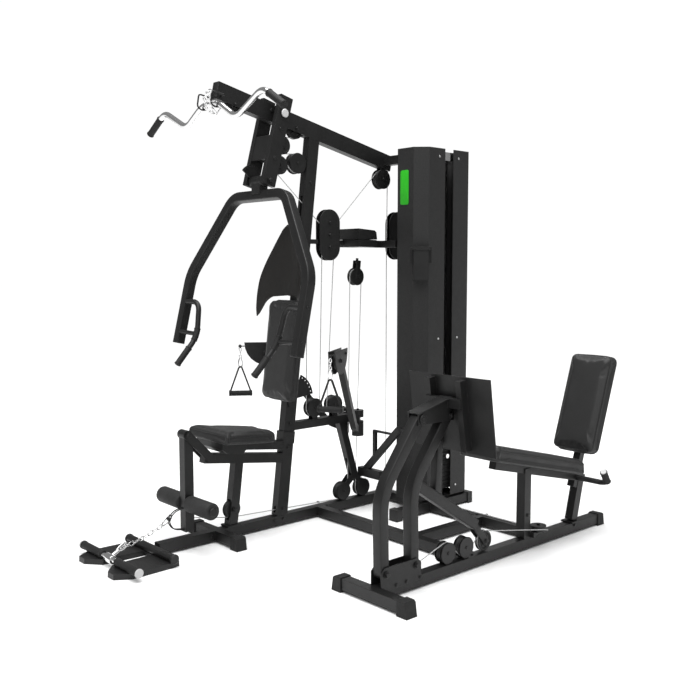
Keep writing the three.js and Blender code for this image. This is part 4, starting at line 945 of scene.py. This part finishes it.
def press_leg_trim(side, word):
    """Pivot bolts and cover on one side of the legs, and the bolts of the plates that carry them."""
    reach, outward = PRESS_X + side * 35, (side, 0, 0)
    for y in (LEG_Y, LEG_Y + PITCH):
        fit("frame", bolt((reach, y, PIVOT_Z), outward, 12, 8))
    for y in (HEAD_Y, HEAD_Y + PITCH):
        fit("foot_carriage", bolt((reach, y, HEAD_Z), outward, 12, 8))
    cover = plug(21, 6, (PRESS_X + side * 37, HEAD_Y, HEAD_Z + 2), ALONG_X, 2)
    cover.piece("press_pivot_cover_" + word, "plastic", "foot_carriage")
    for y in (LEG_Y - 26, LEG_Y + 60, LEG_Y + 122, LEG_Y + PITCH + 26):
        fit("frame", bolt((PRESS_X + side * 31.5, y, 56), outward, 7, 5))


press_leg(0).piece("press_leg_front", "powder_coat", "front_press_leg", ("front_press_leg",))
rear_leg().piece("press_leg_rear", "powder_coat", "rear_press_leg", ("rear_press_leg",))
press_leg_trim(-1, "left")
press_leg_trim(1, "right")


def carriage_cover():
    """The bent sheet that closes the foot carriage on top."""
    path = [(PRESS_X, -396, 777), (PRESS_X, -218, 821), (PRESS_X, -182, 829)]
    swept(path, rounded_rectangle(74, 5, 1.5)).piece("carriage_cover", "powder_coat", "foot_carriage")


carriage_cover()


def hand_grips():
    """Grips on the two ends of the bar beside the leg press seat."""
    shape, caps = Shape(), Shape()
    for side in (-1, 1):
        start = Vector((PRESS_X + side * 207, 820, 312))
        end = Vector((PRESS_X + side * 215, 770, 372))
        shape.take(grip_sleeve([start, end], 18, 20))
        heading = (end - start).normalized()
        caps.take(plug(15, 6, end + heading * 2, heading, 2))
    shape.piece("press_hand_grips", "rubber", "frame")
    caps.piece("press_hand_grip_caps", "pale_cap", "frame")


hand_grips()

# ---- lat bar ------------------------------------------------------------------------------------

LAT_Y = -655


def lat_bar():
    half = [(591, LAT_Y, 2122), (433, LAT_Y, 2218), (222, LAT_Y, 2114), (70, LAT_Y, 2204)]
    points = [(-x, y, z) for x, y, z in half] + half[::-1]
    bar = tube(points, 14.5, 46, 28, (0, 1, 0))
    bar.take(tube([(0, LAT_Y, 2204), (0, LAT_Y, 2256)], 7))
    bar.take(turned_about([(9, -3), (13, -3), (13, 3), (9, 3)], (0, LAT_Y, 2264), ALONG_X, 28))
    bar.take(plug(15, 34, (0, LAT_Y, 2204), ALONG_X, 3))
    bar.piece("lat_bar_chrome", "chrome", "lat_bar", ("lat_bar",))
    grips = Shape()
    for side in (-1, 1):
        tip, knee = Vector((side * 591, LAT_Y, 2122)), Vector((side * 433, LAT_Y, 2218))
        grips.take(grip_sleeve([tip + (tip - knee).normalized() * 4, tip.lerp(knee, 0.72)], 18.0, 20.0))
    grips.piece("lat_bar_grips", "rubber", "lat_bar")
    links = chain([(0, LAT_Y - 8, 2262), (0, LAT_Y - 34, 2226), (0, LAT_Y - 22, 2176),
                   (0, LAT_Y + 14, 2160)])
    links.take(snap_hook((0, LAT_Y + 16, 2176), (0, 0.5, -0.6), ALONG_X, 52, 27))
    links.take(snap_hook((16, LAT_Y - 22, 2236), (0.35, -0.3, 0.8), (0.6, 0.8, 0), 54, 28))
    links.piece("lat_bar_chain", "chrome", "lat_bar")


lat_bar()

# ---- row bar and its chain ----------------------------------------------------------------------


def row_bar():
    y, z = -1250, 42
    bar = tube([(-278, y, z), (278, y, z)], 12.5, sides=28, hint=UP)
    bar.take(turned_about([(12, -34), (19, -34), (21, -30), (21, 30), (19, 34), (12, 34)], (0, y, z)))
    bar.take(tube([(0, y + 8, z + 8), (0, y + 44, z + 28)], 9, sides=20))
    bar.piece("row_bar_chrome", "chrome", "row_bar", ("row_bar",))
    grips, caps = Shape(), Shape()
    for side in (-1, 1):
        grips.take(grip_sleeve([(side * 70, y, z), (side * 276, y, z)], 19.5, 21.5))
        caps.take(plug(21.5, 8, (side * 280, y, z), ALONG_X, 2.5))
    grips.piece("row_bar_grips", "rubber", "row_bar")
    caps.piece("row_bar_caps", "pale_cap", "row_bar")
    links = chain([(0, y + 48, z + 32), (0, -1090, 98), (0, -972, 142)], 26)
    links.take(snap_hook((0, -946, 162), (0, 0.75, 0.62), (0, -0.62, 0.75), 68, 33, 4.0))
    links.take(snap_hook((0, y + 62, z + 40), (0, 0.9, 0.4), (0, -0.4, 0.9), 60, 30, 3.8))
    links.take(chain([(-14, y + 90, z + 46), (-38, y + 84, z + 20), (-52, y + 60, z + 4)], side=UP))
    links.piece("row_bar_chain", "chrome", "row_bar")


row_bar()

# ---- swivel arms and their D handles ------------------------------------------------------------

POST_X, POST_Y, TIP_Z = 62, 275, 975
REACH = math.hypot(309 - POST_X, -92 - POST_Y)
HEADING = math.atan2(-92 - POST_Y, 309 - POST_X)
BALL_Z, APEX_Z, GRIP_Z, SPREAD = 955, 832, 684, 62


def beside(side):
    """From a swivel arm's own axes, drawn along +X from its post, to the machine."""
    angle = HEADING if side > 0 else math.pi - HEADING
    return Matrix.Translation((side * POST_X, POST_Y, 0)) @ Matrix.Rotation(angle, 4, "Z")


def d_handle(side):
    word = "left" if side < 0 else "right"
    place = beside(side) @ Matrix.Translation((REACH + 154, 0, 0))
    if side < 0:
        place = place @ Matrix.Rotation(math.pi / 2, 4, "Z")
    straps = Shape()
    top = APEX_Z + 4
    loop = bent([(0, -SPREAD, GRIP_Z), (0, -7, top), (0, 7, top), (0, SPREAD, GRIP_Z)], 8, 6)
    straps.take(swept(loop, rounded_rectangle(16, 9.0, 2.4)))
    for end in (-1, 1):
        straps.take(plug(17.5, 5, (0, end * (SPREAD + 2), GRIP_Z), (0, 1, 0), 1.5))
    straps.turned(place).piece("handle_straps_" + word, "plastic", "handle_" + word,
                               ("d_handle_" + word,))
    grip = grip_sleeve([(0, -SPREAD, GRIP_Z), (0, SPREAD, GRIP_Z)], 15.5, 17)
    grip.turned(place).piece("handle_grip_" + word, "rubber", "handle_" + word)
    links = chain([(0, 0, BALL_Z - 10), (0, 0, APEX_Z + 52)], 19)
    links.take(snap_hook((0, 0, APEX_Z + 28), (0, 0, -1), (0, 1, 0), 56, 29, 3.4))
    links.turned(place).piece("handle_chain_" + word, "chrome", "handle_" + word)


def swivel_trim(side):
    word = "left" if side < 0 else "right"
    place = beside(side)
    wheel = pulley((REACH + 16, 0, TIP_Z - 56), 44, (0, 1, 0), 0.4)
    wheel.take(turned_about([(0.05, -10), (7, -7.5), (10, 0), (7, 7.5), (0.05, 10)],
                            (REACH + 154, 0, BALL_Z), (1, 0, 0), 24))
    wheel.turned(place).piece("swivel_wheel_" + word, "plastic", "swivel_" + word)
    nuts = bolt((REACH + 16, 19.5, TIP_Z - 56), (0, 1, 0), 10, 7)
    nuts.take(bolt((REACH + 16, -19.5, TIP_Z - 56), (0, -1, 0), 10, 7))
    nuts.take(bolt((REACH - 92, -19.5, TIP_Z - 26), (0, -1, 0), 7, 5))
    nuts.take(bolt((REACH - 92, 19.5, TIP_Z - 26), (0, 1, 0), 7, 5))
    fit("swivel_" + word, nuts.turned(place))


for side in (-1, 1):
    d_handle(side)
    swivel_trim(side)

# ---- tower --------------------------------------------------------------------------------------

badge = swept([(254, 453.6, 1848), (254, 452.2, 1848), (254, 451.4, 1848)],
              rounded_rectangle(63, 191, 12, 6), scales=[1, 1, 0.985])
badge.piece("tower_badge", "badge", "frame")


def tower_trim():
    """Screws along the folded edges of both covers."""
    shape = Shape()
    faces = [((259.5 - 123.5, 540), (-1, 0, 0)), ((259.5 + 123.5, 600), (1, 0, 0)),
             ((259.5 + 123.5, 760), (1, 0, 0))]
    for (x, y), normal in faces:
        for z in (130, 1000, 2020):
            shape.take(plug(6, 4, (x + normal[0] * 1.5, y, z), normal, 1.2, 20))
    return shape


tower_trim().piece("tower_screws", "zinc", "frame")

# ---- bolts and end caps -------------------------------------------------------------------------


def upright_y(z):
    return -256 + 0.1175 * z


def boom_z(y):
    return 2134 - 0.222 * y


TUBE_SIDE = 25  # half the width of the frame's square tube
TUBE_TOP = 62


def side_bolts(side):
    """Bolts on one side face of the main station and of the leg press."""
    out = (side, 0, 0)
    for z in (1860, 560, 430, 96):
        fit("frame", bolt((side * TUBE_SIDE, upright_y(z), z), out, 8, 6))
    for y in (-300, 540):
        fit("frame", bolt((side * TUBE_SIDE, y, boom_z(y) + 12), out, 8, 6))
    for y in (-700, -300, -240):
        fit("frame", bolt((side * TUBE_SIDE, y, 40 if y > -400 else 38), out, 8, 6))
    fit("frame", bolt((side * 38, -835, 578), out, 12, 8))
    fit("frame", bolt((side * 32, -562, 150), out, 10, 7))
    fit("press_yoke", bolt((side * 90, -289, 2112), out, 8, 5))
    fit("press_yoke", bolt((side * 90, -330, 1960), out, 8, 5))
    fit("backrest", bolt((side * 33, upright_y(690), 690), out, 11, 7))
    fit("frame", bolt((PRESS_X + side * TUBE_SIDE, 400, 180), out, 8, 6))
    fit("frame", bolt((PRESS_X + side * TUBE_SIDE, 812, 50), out, 8, 6))


def top_bolts():
    """Bolts standing on the floor frame's top faces."""
    for y in (-181, -56):
        fit("frame", bolt((PRESS_X, y + 62, TUBE_TOP), UP, 7, 5))
    for x in (-40, 40):
        fit("frame", bolt((x, 60, TUBE_TOP), UP, 8, 6))
    for x, y in ((728, 15), (772, 15), (728, 545), (772, 575), (1085, 25), (1085, 560)):
        fit("frame", bolt((x, y, TUBE_TOP), UP, 8, 6))


def frame_end_caps():
    """Caps on the two ends of the boom and of the front stabilizer."""
    caps = Shape()
    heading = Vector((0, 1, -0.222)).normalized()
    profile = rounded_rectangle(51.6, 88.6, 5, 3)
    for y, way in ((-628, -1), (575, 1)):
        end = Vector((0, y, boom_z(y)))
        caps.take(eased(end - heading * way * 5, end + heading * way * 1, profile, ALONG_X, 2.5, 26))
    for side in (-1, 1):
        caps.take(plug(23.5, 14, (side * 218, -1033, 42), ALONG_X, 4))
    caps.piece("frame_end_caps", "plastic", "frame")


def yoke_pivot_caps():
    caps = Shape()
    for side in (-1, 1):
        caps.take(plug(22, 9, (side * 101, -268, 2192), ALONG_X, 3.5))
    caps.piece("yoke_pivot_caps", "pale_cap", "frame")


side_bolts(-1)
side_bolts(1)
top_bolts()
frame_end_caps()
yoke_pivot_caps()

for body, shape in sorted(hardware.items()):
    shape.piece("hardware_" + body, "plastic", body, sharp=25)

# ---- studio -------------------------------------------------------------------------------------

WHITE = (1, 1, 1, 1)
SEEN_WHITE, CAST_WHITE = 1.02, 0.25  # the background as the camera sees it, and as it lights
FLOOR_REACH = 60


def floor():
    mesh = bpy.data.meshes.new("floor")
    corners = ((-1, -1), (1, -1), (1, 1), (-1, 1))
    points = [(x * FLOOR_REACH, y * FLOOR_REACH, -0.0005) for x, y in corners]
    mesh.from_pydata(points, [], [(0, 1, 2, 3)])
    obj = bpy.data.objects.new("floor", mesh)
    bpy.context.collection.objects.link(obj)
    n = Nodes("floor_white")
    n.link(n.ramp(n.noise(0.6), 0.2, 0.8, grey(0.90), grey(0.92)), n.shader.inputs["Base Color"])
    n.set(Roughness=0.85)
    n.shader.inputs["Specular IOR Level"].default_value = 0.1
    mesh.materials.append(n.material)


def area_light(name, location, target, size, power):
    data = bpy.data.lights.new(name, "AREA")
    data.shape = "DISK"
    data.size = size
    data.energy = power
    obj = bpy.data.objects.new(name, data)
    obj.location = location
    heading = Vector(target) - Vector(location)
    obj.rotation_euler = heading.to_track_quat("-Z", "Y").to_euler()
    bpy.context.collection.objects.link(obj)


def sun_light(name, towards, strength, angle):
    data = bpy.data.lights.new(name, "SUN")
    data.energy = strength
    data.angle = math.radians(angle)
    obj = bpy.data.objects.new(name, data)
    obj.rotation_euler = Vector(towards).to_track_quat("Z", "Y").to_euler()
    bpy.context.collection.objects.link(obj)


def studio_world():
    """White all round. The background is seen at full white and lights the machine a little less."""
    world = bpy.data.worlds.new("studio")
    bpy.context.scene.world = world
    world.use_nodes = True
    nodes, links = world.node_tree.nodes, world.node_tree.links
    nodes.clear()
    output = nodes.new("ShaderNodeOutputWorld")
    mix = nodes.new("ShaderNodeMixShader")
    path = nodes.new("ShaderNodeLightPath")
    seen, cast = nodes.new("ShaderNodeBackground"), nodes.new("ShaderNodeBackground")
    for node, strength in ((seen, SEEN_WHITE), (cast, CAST_WHITE)):
        node.inputs["Color"].default_value = WHITE
        node.inputs["Strength"].default_value = strength
    links.new(path.outputs["Is Camera Ray"], mix.inputs["Fac"])
    links.new(cast.outputs["Background"], mix.inputs[1])
    links.new(seen.outputs["Background"], mix.inputs[2])
    links.new(mix.outputs["Shader"], output.inputs["Surface"])


floor()
studio_world()
sun_light("key", (1.7, -2.2, 6.5), 3.15, 80)
area_light("top", (0.2, -0.4, 5.5), (0, 0, 0.8), 4.0, 190)
area_light("rim", (-3.5, 4.5, 4.5), (0, 0, 1.0), 3.0, 70)
bpy.context.scene.view_settings.view_transform = "Standard"
